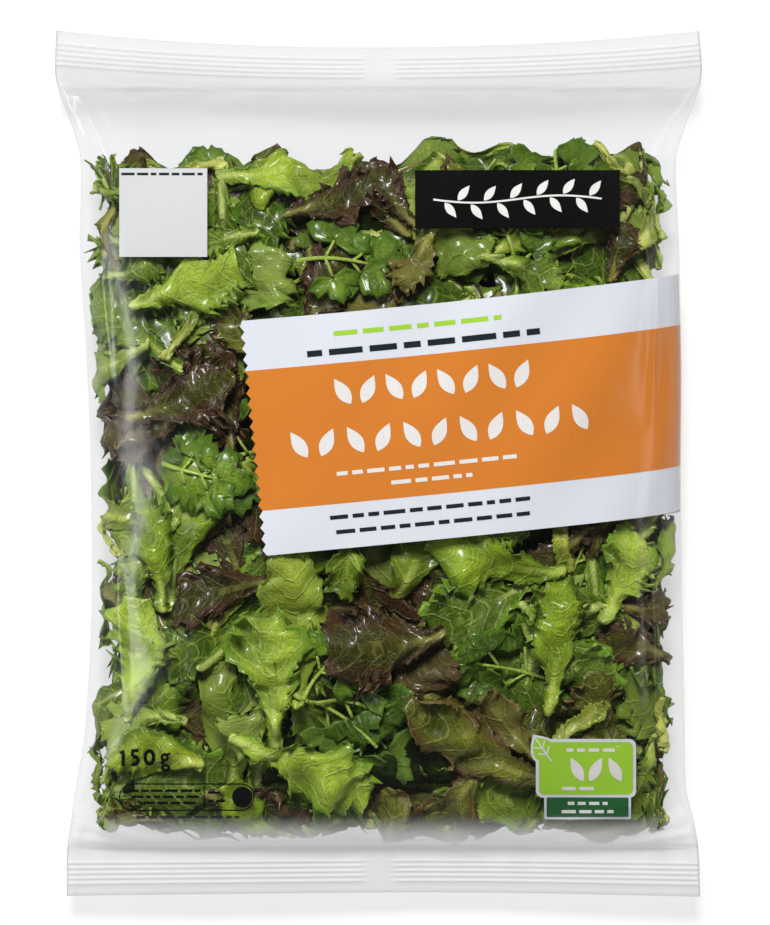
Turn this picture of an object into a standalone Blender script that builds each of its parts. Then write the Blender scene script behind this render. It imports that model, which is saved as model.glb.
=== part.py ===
"""A sealed pillow bag of clear film full of salad leaves, lying on its back with the print up.

Metres, +Z up. +Y points to the top seal and +X to the right of the print. The origin is on
the floor, under the middle of the bag. The bag is one closed solid: the film can't be opened,
so what it holds isn't modelled apart from the form that it gives to the film.
"""

import math

import bmesh
import bpy
from mathutils import Matrix, Vector

# Driving dimensions of the bag.
PACK_LENGTH = 0.283
BODY_HEIGHT = 0.052
SIDE_LINE_HEIGHT = 0.021
FLAT_BACK_DROP = 0.030
SEAL_HEIGHT = 0.015
SEAL_THICKNESS = 0.0010

# Each end seal, from its outer edge inwards: a plain margin, the crimped ridges, a plain strip.
TOP_MARGIN = 0.0035
TOP_STRIP = 0.0024
BOTTOM_MARGIN = 0.0032
BOTTOM_STRIP = 0.0043
RIDGE_COUNT = 5
RIDGE_PITCH = 0.0017
RIDGE_DEPTH = 0.00035

# How far the middle of each seal line is drawn towards the body, against its ends.
TOP_EDGE_BOW = 0.0056
TOP_ROOT_BOW = 0.0040
BOTTOM_EDGE_BOW = 0.0012
BOTTOM_ROOT_BOW = 0.0006

# The side outline: place along the bag, half width on the left and on the right.
SIDE_STATIONS = (
    (-0.1415, 0.1020, 0.1050),
    (-0.1256, 0.1017, 0.1043),
    (-0.1163, 0.1004, 0.1028),
    (-0.1065, 0.0990, 0.1004),
    (-0.0870, 0.0957, 0.0997),
    (-0.0500, 0.0935, 0.0990),
    (-0.0100, 0.0935, 0.0984),
    (0.0300, 0.0948, 0.0986),
    (0.0700, 0.0972, 0.0978),
    (0.0990, 0.0972, 0.0970),
    (0.1090, 0.0997, 0.0998),
    (0.1190, 0.1035, 0.1036),
    (0.1269, 0.1055, 0.1056),
    (0.1415, 0.1053, 0.1049),
)

# How full the body is: the powers of its front and back curves, along and across the bag.
FRONT_TOP_POWER = 2.3
FRONT_BOTTOM_POWER = 3.0
FRONT_ACROSS_POWER = 2.8
BACK_ALONG_POWER = 2.6
BACK_ACROSS_POWER = 3.4

# Film relief: bumps over the leaves, pleats running out of the seals, and the seals' own wave.
BUMP_HEIGHT = 0.0009
BUMP_WAVES = ((0.061, 0.083, 0.4), (0.047, -0.052, 2.1), (-0.039, 0.070, 4.0))
PLEAT_HEIGHT = 0.0007
PLEAT_SPACING = 0.017
PLEAT_REACH = 0.014
PLEAT_SLANT = 6.0
RELIEF_SIDE_FADE = 3.0
RELIEF_END_FADE = 2.0
SEAL_WAVE_HEIGHT = 0.0016
SEAL_WAVE_LENGTH = 0.150
SEAL_WAVE_REACH = 0.030
TOP_WAVE_PHASE = 0.9
BOTTOM_WAVE_PHASE = 3.6
SEAL_DROOP = 0.10
SEAL_EDGE_POWER = 12.0

# The film tube's lap seam runs down the middle of the back, through both seals.
SEAM_HALF_WIDTH = 0.045
SEAM_EDGE = 0.010
SEAM_STEP = 0.0006

# Mesh resolution.
BODY_ROWS = 36
SIDE_COLUMNS = 15

# Where the leaves lie along the bag, seen through the film.
LEAVES_LOW = -0.1205
LEAVES_HIGH = 0.1035

# Printed fields on the front: finish, centre, size, turn in degrees. Later ones lie on top.
BAND_TURN = 6.2
CUT_TOLERANCE = 0.00025
CUT_MARGIN = 0.006
CUT_REACH_SHARE = 0.075
PRINT_FIELDS = (
    ("white_print", (0.0330, 0.0153), (0.156, 0.0775), BAND_TURN),
    ("orange_print", (0.0332, 0.0158), (0.158, 0.0448), BAND_TURN),
    ("white_print", (-0.0704, 0.0820), (0.0288, 0.0290), 0.0),
    ("black_print", (0.0454, 0.0864), (0.0670, 0.0190), 0.0),
    ("white_print", (0.0678, -0.0990), (0.0324, 0.0200), 0.0),
    ("green_print", (0.0678, -0.0990), (0.0306, 0.0182), 0.0),
    ("white_print", (0.0683, -0.1123), (0.0282, 0.0074), 0.0),
    ("dark_green_print", (0.0683, -0.1123), (0.0264, 0.0058), 0.0),
)

# Colour, roughness and metallic value of each finish.
FINISHES = {
    "film": ((0.80, 0.81, 0.81), 0.22, 0.0),
    "salad_through_film": ((0.19, 0.31, 0.05), 0.30, 0.0),
    "white_print": ((0.78, 0.80, 0.85), 0.32, 0.0),
    "orange_print": ((0.70, 0.23, 0.03), 0.32, 0.0),
    "black_print": ((0.010, 0.010, 0.010), 0.30, 0.0),
    "green_print": ((0.26, 0.50, 0.03), 0.32, 0.0),
    "dark_green_print": ((0.02, 0.14, 0.06), 0.32, 0.0),
}

TOP_EDGE = PACK_LENGTH / 2
BOTTOM_EDGE = -PACK_LENGTH / 2
CRIMP_LENGTH = RIDGE_COUNT * RIDGE_PITCH
TOP_ROOT = TOP_EDGE - TOP_MARGIN - CRIMP_LENGTH - TOP_STRIP
BOTTOM_ROOT = BOTTOM_EDGE + BOTTOM_MARGIN + CRIMP_LENGTH + BOTTOM_STRIP
BODY_MIDDLE = (TOP_ROOT + BOTTOM_ROOT) / 2
BODY_HALF = (TOP_ROOT - BOTTOM_ROOT) / 2
FRONT_RISE = BODY_HEIGHT - SIDE_LINE_HEIGHT - BUMP_HEIGHT


def clear_scene():
    """Remove every object that the startup file holds."""
    for old in list(bpy.data.objects):
        bpy.data.objects.remove(old, do_unlink=True)


def smoothstep(low, high, value):
    """0 below low, 1 above high, and a soft S between them."""
    share = min(1.0, max(0.0, (value - low) / (high - low)))
    return share * share * (3.0 - 2.0 * share)


def half_widths(along):
    """The left and right half widths at a place along the bag, on a smooth curve."""
    last = len(SIDE_STATIONS) - 1
    spot = 0
    while spot < last - 1 and along > SIDE_STATIONS[spot + 1][0]:
        spot += 1
    start, end = SIDE_STATIONS[spot], SIDE_STATIONS[spot + 1]
    before, after = SIDE_STATIONS[max(0, spot - 1)], SIDE_STATIONS[min(last, spot + 2)]
    length = end[0] - start[0]
    share = min(1.0, max(0.0, (along - start[0]) / length))
    widths = []
    for side in (1, 2):
        slope_in = (end[side] - before[side]) / (end[0] - before[0]) * length
        slope_out = (after[side] - start[side]) / (after[0] - start[0]) * length
        widths.append(
            (2 * share**3 - 3 * share**2 + 1) * start[side]
            + (share**3 - 2 * share**2 + share) * slope_in
            + (3 * share**2 - 2 * share**3) * end[side]
            + (share**3 - share**2) * slope_out
        )
    return widths


def fullness(share, power):
    """A rounded profile: 1 in the middle and 0 where share reaches 1 or -1."""
    return math.sqrt(max(0.0, 1.0 - abs(share) ** power))


def row_bow(along):
    """How far the middle of the row at this place is drawn towards the body."""
    if along > TOP_ROOT:
        share = (along - TOP_ROOT) / (TOP_EDGE - TOP_ROOT)
        return -(TOP_ROOT_BOW + share * (TOP_EDGE_BOW - TOP_ROOT_BOW))
    if along < BOTTOM_ROOT:
        share = (BOTTOM_ROOT - along) / (BOTTOM_ROOT - BOTTOM_EDGE)
        return BOTTOM_ROOT_BOW + share * (BOTTOM_EDGE_BOW - BOTTOM_ROOT_BOW)
    share = (along - BOTTOM_ROOT) / (TOP_ROOT - BOTTOM_ROOT)
    return BOTTOM_ROOT_BOW * (1.0 - share) ** 2 - TOP_ROOT_BOW * share**2


def middle_height(across, along):
    """The height of the surface half way between front and back."""
    outside = max(along - TOP_ROOT, BOTTOM_ROOT - along, 0.0)
    inside = max(0.0, min(TOP_ROOT - along, along - BOTTOM_ROOT))
    body_share = smoothstep(0.0, 2 * SEAL_WAVE_REACH, inside)
    base = SEAL_HEIGHT + (SIDE_LINE_HEIGHT - SEAL_HEIGHT) * body_share
    phase = TOP_WAVE_PHASE if along > BODY_MIDDLE else BOTTOM_WAVE_PHASE
    wave = math.sin(2 * math.pi * across / SEAL_WAVE_LENGTH + phase)
    near_seal = math.exp(-inside / SEAL_WAVE_REACH) * (1.0 - body_share)
    return base + SEAL_WAVE_HEIGHT * wave * near_seal - SEAL_DROOP * outside


def ridge_offset(share, along):
    """The crimp's height: ridges across the seal, pressed flat over the lap seam."""
    first_top = TOP_EDGE - TOP_MARGIN
    first_bottom = BOTTOM_EDGE + BOTTOM_MARGIN
    depth_in = first_top - along if along > BODY_MIDDLE else along - first_bottom
    if not 0.0 < depth_in < CRIMP_LENGTH or abs(share) <= SEAM_HALF_WIDTH:
        return 0.0
    return -RIDGE_DEPTH * math.cos(2 * math.pi * depth_in / RIDGE_PITCH) + RIDGE_DEPTH


def film_relief(across, along):
    """Low bumps over the leaves, and pleats that fade away from the seals."""
    bumps = 0.0
    for length_x, length_y, phase in BUMP_WAVES:
        bumps += math.sin(2 * math.pi * (across / length_x + along / length_y) + phase)
    inside = min(TOP_ROOT - along, along - BOTTOM_ROOT)
    spread = 1.0 + inside / PLEAT_REACH
    turns = across / (PLEAT_SPACING * spread)
    pleat = math.sin(2 * math.pi * turns + PLEAT_SLANT * along)
    fade = math.exp(-inside / PLEAT_REACH) * smoothstep(0.0, PLEAT_REACH / 3, inside)
    return BUMP_HEIGHT * bumps / len(BUMP_WAVES) + PLEAT_HEIGHT * pleat * fade


def section_heights(share, across, along):
    """The front and back heights of the film at one spot."""
    middle = middle_height(across, along)
    half_seal = SEAL_THICKNESS / 2 * fullness(share, SEAL_EDGE_POWER)
    if along >= TOP_ROOT or along <= BOTTOM_ROOT:
        offset = ridge_offset(share, along)
        return middle + offset + half_seal, middle + offset - half_seal
    along_share = (along - BODY_MIDDLE) / BODY_HALF
    front_power = FRONT_TOP_POWER if along_share > 0 else FRONT_BOTTOM_POWER
    front_swell = fullness(along_share, front_power) * fullness(share, FRONT_ACROSS_POWER)
    back_swell = fullness(along_share, BACK_ALONG_POWER) * fullness(share, BACK_ACROSS_POWER)
    side_fade = min(1.0, RELIEF_SIDE_FADE * fullness(share, FRONT_ACROSS_POWER))
    end_fade = min(1.0, RELIEF_END_FADE * fullness(along_share, front_power))
    front = middle + half_seal + FRONT_RISE * front_swell
    front += film_relief(across, along) * side_fade * end_fade
    seam = SEAM_STEP if abs(share) <= SEAM_HALF_WIDTH else 0.0
    back = middle - half_seal - FLAT_BACK_DROP * back_swell - seam * back_swell
    return front, max(0.0, back)


def column_shares():
    """Places across the bag, from -1 to 1, closer together towards the rounded sides."""
    right = [SEAM_HALF_WIDTH, SEAM_HALF_WIDTH + SEAM_EDGE]
    first = math.asin(right[-1])
    for step in range(1, SIDE_COLUMNS + 1):
        right.append(math.sin(first + (math.pi / 2 - first) * step / SIDE_COLUMNS))
    return [-share for share in reversed(right)] + [0.0] + right


def row_places():
    """Places along the bag, from the bottom edge to the top edge."""
    half_ridges = [step * RIDGE_PITCH / 2 for step in range(2 * RIDGE_COUNT + 1)]
    bottom = [BOTTOM_EDGE] + [BOTTOM_EDGE + BOTTOM_MARGIN + reach for reach in half_ridges]
    top = [TOP_EDGE - TOP_MARGIN - reach for reach in reversed(half_ridges)] + [TOP_EDGE]
    body = []
    for step in range(BODY_ROWS + 1):
        turn = math.pi * (step / BODY_ROWS - 0.5)
        body.append(BODY_MIDDLE + BODY_HALF * math.sin(turn))
    return bottom + body + top


def bag_mesh():
    """The closed film body: one ring of points for each row, joined row to row."""
    bag = bmesh.new()
    shares = column_shares()
    rings = []
    for along in row_places():
        left, right = half_widths(along)
        front_line, back_line = [], []
        for share in shares:
            across = share * (right if share > 0 else left)
            place = along + row_bow(along) * (1.0 - share * share)
            front, back = section_heights(share, across, along)
            if abs(share) >= 1.0:
                shared_point = bag.verts.new((across, place, (front + back) / 2))
                front_line.append(shared_point)
                back_line.append(shared_point)
            else:
                front_line.append(bag.verts.new((across, place, front)))
                back_line.append(bag.verts.new((across, place, back)))
        rings.append((front_line, back_line))
    for (front_a, back_a), (front_b, back_b) in zip(rings, rings[1:]):
        for spot in range(len(shares) - 1):
            bag.faces.new(
                (front_a[spot], front_a[spot + 1], front_b[spot + 1], front_b[spot])
            )
            bag.faces.new((back_a[spot], back_b[spot], back_b[spot + 1], back_a[spot + 1]))
    for front, back in (rings[0], rings[-1]):
        for spot in range(len(shares) - 1):
            corners = (front[spot], front[spot + 1], back[spot + 1], back[spot])
            bag.faces.new([p for n, p in enumerate(corners) if p not in corners[:n]])
    bmesh.ops.recalc_face_normals(bag, faces=bag.faces)
    return bag


def paint_contents(bag, slots):
    """Give the film the leaves' colour where they show through it."""
    for face in bag.faces:
        middle = face.calc_center_median()
        if LEAVES_LOW < middle.y < LEAVES_HIGH:
            face.material_index = slots["salad_through_film"]


def paint_field(bag, slots, finish, centre, size, turn):
    """Cut the front along one printed field's four edges, and colour what lies inside."""
    to_field = Matrix.Rotation(math.radians(-turn), 2)
    cut_room = CUT_MARGIN + CUT_REACH_SHARE * Vector(size).length

    def in_field(face, room):
        """True if the face's middle lies in the field, or within room of it."""
        middle = face.calc_center_median()
        if face.normal.z <= 0.0:
            return False
        inside = to_field @ (middle.xy - Vector(centre))
        return abs(inside.x) < size[0] / 2 + room and abs(inside.y) < size[1] / 2 + room

    for axis in (0, 1):
        for side in (-1, 1):
            normal = Vector((0.0, 0.0))
            normal[axis] = side
            normal = Matrix.Rotation(math.radians(turn), 2) @ normal
            spot = Vector(centre) + normal * size[axis] / 2
            near = [face for face in bag.faces if in_field(face, cut_room)]
            edges = {edge for face in near for edge in face.edges}
            points = {point for face in near for point in face.verts}
            bmesh.ops.bisect_plane(
                bag,
                geom=near + list(edges) + list(points),
                dist=CUT_TOLERANCE,
                plane_co=spot.to_3d(),
                plane_no=normal.to_3d(),
            )
            bag.normal_update()
    for face in bag.faces:
        if in_field(face, 0.0):
            face.material_index = slots[finish]


def finish_material(name):
    """A Principled material with the part's own colour, roughness and metallic value."""
    colour, roughness, metallic = FINISHES[name]
    material = bpy.data.materials.new(name)
    material.use_nodes = True
    shader = material.node_tree.nodes["Principled BSDF"]
    shader.inputs["Base Color"].default_value = (*colour, 1.0)
    shader.inputs["Roughness"].default_value = roughness
    shader.inputs["Metallic"].default_value = metallic
    material.diffuse_color = (*colour, 1.0)
    return material


def build_bag():
    """The whole pack as one object."""
    bag = bag_mesh()
    slots = {name: index for index, name in enumerate(FINISHES)}
    paint_contents(bag, slots)
    for finish, centre, size, turn in PRINT_FIELDS:
        paint_field(bag, slots, finish, centre, size, turn)
    mesh = bpy.data.meshes.new("salad_bag")
    bag.to_mesh(mesh)
    bag.free()
    for name in FINISHES:
        mesh.materials.append(finish_material(name))
    mesh.shade_smooth()
    mesh.set_sharp_from_angle(angle=math.radians(50))
    body = bpy.data.objects.new("salad_bag", mesh)
    bpy.context.scene.collection.objects.link(body)
    return body


clear_scene()
build_bag()
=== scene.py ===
"""A sealed bag of salad leaves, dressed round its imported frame.

Metres, +Z up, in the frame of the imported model: +Y towards the top seal, +X to the right of the
print, the floor at Z = 0. The bag is a tube of clear film with a crimped seal at each end. Real
leaves lie in it, pressed against the film, and the ink is on the film's inner face.
"""

import logging
import math
from dataclasses import dataclass, field, replace
from enum import Enum

import bpy
import numpy as np
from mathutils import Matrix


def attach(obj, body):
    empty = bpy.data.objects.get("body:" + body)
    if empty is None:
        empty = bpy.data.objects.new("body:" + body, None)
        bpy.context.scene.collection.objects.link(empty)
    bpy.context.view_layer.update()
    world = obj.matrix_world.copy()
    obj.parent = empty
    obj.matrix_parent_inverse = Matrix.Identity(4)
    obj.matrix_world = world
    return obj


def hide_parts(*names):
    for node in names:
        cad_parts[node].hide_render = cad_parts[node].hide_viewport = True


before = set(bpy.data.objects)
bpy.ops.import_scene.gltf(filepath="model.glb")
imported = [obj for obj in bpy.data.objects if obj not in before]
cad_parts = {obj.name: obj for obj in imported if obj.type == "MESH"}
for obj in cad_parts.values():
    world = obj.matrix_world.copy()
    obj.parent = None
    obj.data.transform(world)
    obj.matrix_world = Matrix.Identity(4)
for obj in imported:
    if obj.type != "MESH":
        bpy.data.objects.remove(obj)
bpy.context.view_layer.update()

LOG = logging.getLogger("salad_bag")
BAG_NODE = "salad_bag"
BODY = "root"
SEED = 20

Array = np.ndarray
Rng = np.random.Generator
Piece = bpy.types.Object
Colour = tuple[float, float, float]
Pair = tuple[float, float]


def soft_step(low: float, high: float, value: Array) -> Array:
    """Step softly from 0 to 1.

    Args:
        low: Where the step starts.
        high: Where the step ends.
        value: The places to read it at.

    Returns:
        0 below low, 1 above high, and a soft S between them.
    """
    share = np.clip((value - low) / (high - low), 0.0, 1.0)
    return share * share * (3.0 - 2.0 * share)


def fullness(share: Array, power: float) -> Array:
    """Give a rounded profile: 1 in the middle and 0 where share reaches 1 or -1."""
    return np.sqrt(np.clip(1.0 - np.abs(share) ** power, 0.0, None))


def soft_plus(value: Array, width: float) -> Array:
    """Give value where it is well above 0, and nearly 0 below, rounded over width."""
    return width * np.logaddexp(0.0, value / width)


def read_between(grid: Array, row: Array, column: Array) -> Array:
    """Read a grid between its points.

    Args:
        grid: Numbers or vectors, by row and column.
        row: Each place's row, with the share of the way to the next one.
        column: Each place's column, with the share of the way to the next one.

    Returns:
        What the grid holds at each place.
    """
    low_row = np.minimum(row.astype(int), grid.shape[0] - 2)
    low_column = np.minimum(column.astype(int), grid.shape[1] - 2)
    up, right = row - low_row, column - low_column
    if grid.ndim > 2:
        up, right = up[..., None], right[..., None]
    return (
        grid[low_row, low_column] * (1 - up) * (1 - right)
        + grid[low_row, low_column + 1] * (1 - up) * right
        + grid[low_row + 1, low_column] * up * (1 - right)
        + grid[low_row + 1, low_column + 1] * up * right
    )


@dataclass(frozen=True)
class Crease:
    """One soft crease in the front film, from a start to an end as seen from above."""

    start: Pair
    end: Pair
    depth: float
    half_width: float

    def height(self, across: Array, along: Array) -> Array:
        """Read how far the crease lifts the film, with a dip beside its fold.

        Args:
            across: Each spot's x.
            along: Each spot's place along the bag.

        Returns:
            The lift at each spot.
        """
        foot, tip = np.array(self.start), np.array(self.end)
        run = tip - foot
        length = float(np.linalg.norm(run))
        reach = ((across - foot[0]) * run[0] + (along - foot[1]) * run[1]) / length
        aside = ((across - foot[0]) * run[1] - (along - foot[1]) * run[0]) / length
        share = np.clip(reach / length, 0.0, 1.0)
        fade = np.where((reach > 0.0) & (reach < length), np.sin(np.pi * share) ** 0.7, 0.0)
        place = aside / self.half_width
        return self.depth * fade * (1.0 - 2.0 * place**2) * np.exp(-(place**2))


CREASES = (
    Crease((-0.0990, 0.1240), (-0.0860, 0.0960), 0.0011, 0.0028),
    Crease((-0.0890, 0.1250), (-0.0700, 0.1080), 0.0008, 0.0024),
    Crease((-0.0700, 0.1255), (-0.0560, 0.1130), 0.0005, 0.0020),
    Crease((0.1000, 0.1240), (0.0900, 0.0980), 0.0011, 0.0028),
    Crease((0.0880, 0.1250), (0.0740, 0.1090), 0.0007, 0.0024),
    Crease((0.0040, 0.1240), (0.0200, 0.1160), 0.0006, 0.0022),
    Crease((-0.1000, -0.1235), (-0.0880, -0.1040), 0.0009, 0.0028),
    Crease((-0.0560, -0.1240), (-0.0480, -0.1150), 0.0004, 0.0020),
    Crease((0.0990, -0.1235), (0.0900, -0.1060), 0.0009, 0.0028),
    Crease((0.0300, -0.1240), (0.0360, -0.1150), 0.0005, 0.0020),
    Crease((-0.0905, 0.0700), (-0.0860, 0.0200), 0.0006, 0.0026),
    Crease((-0.0850, -0.0250), (-0.0820, -0.0800), 0.0006, 0.0026),
    Crease((0.0905, 0.0650), (0.0880, 0.0100), 0.0005, 0.0022),
    Crease((0.0880, -0.0300), (0.0900, -0.0850), 0.0005, 0.0022),
)


@dataclass(frozen=True)
class BagForm:
    """The bag's outer form, by the sizes and curves of the solid that the film stands for.

    A place on the bag is a share of its half width, from -1 left to 1 right, and a place along it.
    """

    pack_length: float = 0.283
    body_height: float = 0.052
    side_line_height: float = 0.021
    flat_back_drop: float = 0.030
    seal_height: float = 0.015
    seal_thickness: float = 0.0006
    top_margin: float = 0.0035
    top_strip: float = 0.0024
    bottom_margin: float = 0.0032
    bottom_strip: float = 0.0043
    ridge_count: int = 5
    ridge_pitch: float = 0.0017
    ridge_depth: float = 0.00035
    top_edge_bow: float = 0.0056
    top_root_bow: float = 0.0040
    bottom_edge_bow: float = 0.0012
    bottom_root_bow: float = 0.0006
    front_top_power: float = 2.3
    front_bottom_power: float = 3.0
    front_across_power: float = 2.8
    back_along_power: float = 2.6
    back_across_power: float = 3.4
    bump_height: float = 0.0009
    bump_waves: tuple = ((0.061, 0.083, 0.4), (0.047, -0.052, 2.1), (-0.039, 0.070, 4.0))
    pleat_height: float = 0.0007
    pleat_spacing: float = 0.017
    pleat_reach: float = 0.014
    pleat_slant: float = 6.0
    relief_side_fade: float = 3.0
    relief_end_fade: float = 2.0
    seal_wave_height: float = 0.0016
    seal_wave_length: float = 0.150
    seal_wave_reach: float = 0.030
    top_wave_phase: float = 0.9
    bottom_wave_phase: float = 3.6
    seal_droop: float = 0.10
    seal_edge_power: float = 12.0
    seam_half_width: float = 0.045
    seam_step: float = 0.0006
    floor_gap: float = 0.0003
    side_stations: tuple = (
        (-0.1415, 0.1020, 0.1050),
        (-0.1256, 0.1017, 0.1043),
        (-0.1163, 0.1004, 0.1028),
        (-0.1065, 0.0990, 0.1004),
        (-0.0870, 0.0957, 0.0997),
        (-0.0500, 0.0935, 0.0990),
        (-0.0100, 0.0935, 0.0984),
        (0.0300, 0.0948, 0.0986),
        (0.0700, 0.0972, 0.0978),
        (0.0990, 0.0972, 0.0970),
        (0.1090, 0.0997, 0.0998),
        (0.1190, 0.1035, 0.1036),
        (0.1269, 0.1055, 0.1056),
        (0.1415, 0.1053, 0.1049),
    )

    @property
    def top_edge(self) -> float:
        """The place of the top seal's outer edge."""
        return self.pack_length / 2

    @property
    def bottom_edge(self) -> float:
        """The place of the bottom seal's outer edge."""
        return -self.pack_length / 2

    @property
    def crimp_length(self) -> float:
        """How far the ridges of one seal reach along the bag."""
        return self.ridge_count * self.ridge_pitch

    @property
    def top_root(self) -> float:
        """The place where the body leaves the top seal."""
        return self.top_edge - self.top_margin - self.crimp_length - self.top_strip

    @property
    def bottom_root(self) -> float:
        """The place where the body leaves the bottom seal."""
        return self.bottom_edge + self.bottom_margin + self.crimp_length + self.bottom_strip

    @property
    def middle(self) -> float:
        """The place half way between the two seals."""
        return (self.top_root + self.bottom_root) / 2

    @property
    def half_length(self) -> float:
        """Half the way from seal to seal."""
        return (self.top_root - self.bottom_root) / 2

    def half_width(self, share: Array, along: Array) -> Array:
        """Read the half width on a smooth curve through the side stations.

        Args:
            share: Share of the half width, whose sign picks the side.
            along: Place along the bag.

        Returns:
            The half width on that side.
        """
        stations = np.array(self.side_stations)
        last = len(stations) - 1
        spot = np.clip(np.searchsorted(stations[:, 0], along) - 1, 0, last - 1)
        start, end = stations[spot], stations[spot + 1]
        before = stations[np.maximum(0, spot - 1)]
        after = stations[np.minimum(last, spot + 2)]
        length = end[..., 0] - start[..., 0]
        part = np.clip((along - start[..., 0]) / length, 0.0, 1.0)
        sides = []
        for side in (1, 2):
            slope_in = (end[..., side] - before[..., side]) / (end[..., 0] - before[..., 0])
            slope_out = (after[..., side] - start[..., side]) / (after[..., 0] - start[..., 0])
            sides.append(
                (2 * part**3 - 3 * part**2 + 1) * start[..., side]
                + (part**3 - 2 * part**2 + part) * slope_in * length
                + (3 * part**2 - 2 * part**3) * end[..., side]
                + (part**3 - part**2) * slope_out * length
            )
        return np.where(share > 0, sides[1], sides[0])

    def bow(self, along: Array) -> Array:
        """Read how far the middle of a row is drawn towards the body.

        Args:
            along: The row's place along the bag.

        Returns:
            The shift along the bag.
        """
        above = (along - self.top_root) / (self.top_edge - self.top_root)
        below = (self.bottom_root - along) / (self.bottom_root - self.bottom_edge)
        inside = np.clip((along - self.bottom_root) / (2 * self.half_length), 0.0, 1.0)
        body = self.bottom_root_bow * (1.0 - inside) ** 2 - self.top_root_bow * inside**2
        top = -(self.top_root_bow + above * (self.top_edge_bow - self.top_root_bow))
        bottom = self.bottom_root_bow + below * (self.bottom_edge_bow - self.bottom_root_bow)
        return np.where(above > 0, top, np.where(below > 0, bottom, body))

    def middle_height(self, across: Array, along: Array) -> Array:
        """Read the height of the surface half way between front and back.

        Args:
            across: Each spot's x.
            along: Each spot's place along the bag.

        Returns:
            The height over the floor.
        """
        outside = np.maximum(np.maximum(along - self.top_root, self.bottom_root - along), 0.0)
        inside = np.maximum(np.minimum(self.top_root - along, along - self.bottom_root), 0.0)
        body_share = soft_step(0.0, 2 * self.seal_wave_reach, inside)
        base = self.seal_height + (self.side_line_height - self.seal_height) * body_share
        phase = np.where(along > self.middle, self.top_wave_phase, self.bottom_wave_phase)
        wave = np.sin(2 * np.pi * across / self.seal_wave_length + phase)
        near_seal = np.exp(-inside / self.seal_wave_reach) * (1.0 - body_share)
        return base + self.seal_wave_height * wave * near_seal - self.seal_droop * outside

    def ridges(self, share: Array, along: Array) -> Array:
        """Read the crimp's height: ridges across the seal, pressed flat over the lap seam.

        Args:
            share: Share of the half width.
            along: Place along the bag.

        Returns:
            How far the ridges lift the film.
        """
        from_top = self.top_edge - self.top_margin - along
        from_bottom = along - self.bottom_edge - self.bottom_margin
        depth_in = np.where(along > self.middle, from_top, from_bottom)
        wave = self.ridge_depth * (1.0 - np.cos(2 * np.pi * depth_in / self.ridge_pitch))
        on_crimp = (depth_in > 0.0) & (depth_in < self.crimp_length)
        past_seam = soft_step(0.8, 1.2, np.abs(share) / self.seam_half_width)
        return np.where(on_crimp, wave * past_seam, 0.0)

    def relief(self, across: Array, along: Array) -> Array:
        """Read the low bumps over the leaves, and the pleats that fade away from the seals.

        Args:
            across: Each spot's x.
            along: Each spot's place along the bag.

        Returns:
            The lift at each spot.
        """
        bumps = sum(
            np.sin(2 * np.pi * (across / length_x + along / length_y) + phase)
            for length_x, length_y, phase in self.bump_waves
        )
        inside = np.maximum(np.minimum(self.top_root - along, along - self.bottom_root), 0.0)
        turns = across / (self.pleat_spacing * (1.0 + inside / self.pleat_reach))
        pleat = np.sin(2 * np.pi * turns + self.pleat_slant * along)
        fade = np.exp(-inside / self.pleat_reach) * soft_step(0.0, self.pleat_reach / 3, inside)
        folds = sum(crease.height(across, along) for crease in CREASES)
        bumps = self.bump_height * bumps / len(self.bump_waves)
        return bumps + self.pleat_height * pleat * fade + folds

    def points(self, share: Array, along: Array, front: bool) -> Array:
        """Place points on the front or the back.

        Args:
            share: Share of the half width.
            along: Place along the bag.
            front: True for the front, False for the back.

        Returns:
            Points, with x, y and z last.
        """
        share, along = np.broadcast_arrays(share, along)
        across = share * self.half_width(share, along)
        half_seal = self.seal_thickness / 2 * fullness(share, self.seal_edge_power)
        level = self.middle_height(across, along) + self.ridges(share, along)
        in_body = (along < self.top_root) & (along > self.bottom_root)
        part = np.clip((along - self.middle) / self.half_length, -1.0, 1.0)
        if front:
            power = np.where(part > 0, self.front_top_power, self.front_bottom_power)
            lengthwise = fullness(part, power)
            crosswise = fullness(share, self.front_across_power)
            side_fade = np.minimum(1.0, self.relief_side_fade * crosswise)
            end_fade = np.minimum(1.0, self.relief_end_fade * lengthwise)
            rise = self.body_height - self.side_line_height - self.bump_height
            swell = rise * lengthwise * crosswise
            swell = swell + self.relief(across, along) * side_fade * end_fade
            height = level + half_seal + np.where(in_body, swell, 0.0)
        else:
            swell = fullness(part, self.back_along_power) * fullness(share, self.back_across_power)
            seam = np.where(np.abs(share) <= self.seam_half_width, self.seam_step, 0.0)
            drop = np.where(in_body, (self.flat_back_drop + seam) * swell, 0.0)
            height = np.maximum(self.floor_gap, level - half_seal - drop)
        place = along + self.bow(along) * (1.0 - share**2)
        return np.stack((across, place, height), axis=-1)


@dataclass(frozen=True)
class Viewpoint:
    """Where the camera hangs, and the level at which places in the photo were measured."""

    across: float = 0.0021
    place: float = 0.0003
    height: float = 1.5
    level: float = 0.015

    def under(self, across: Array, place: Array, height: Array) -> tuple[Array, Array]:
        """Find which x and y at a height are seen where the measured ones are.

        Args:
            across: The measured x.
            place: The measured y.
            height: The height above the floor.

        Returns:
            The x and the y at that height.
        """
        share = (self.height - height) / (self.height - self.level)
        seen_across = self.across + (across - self.across) * share
        return seen_across, self.place + (place - self.place) * share


VIEWPOINT = Viewpoint()


TINY = 1e-12


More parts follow.
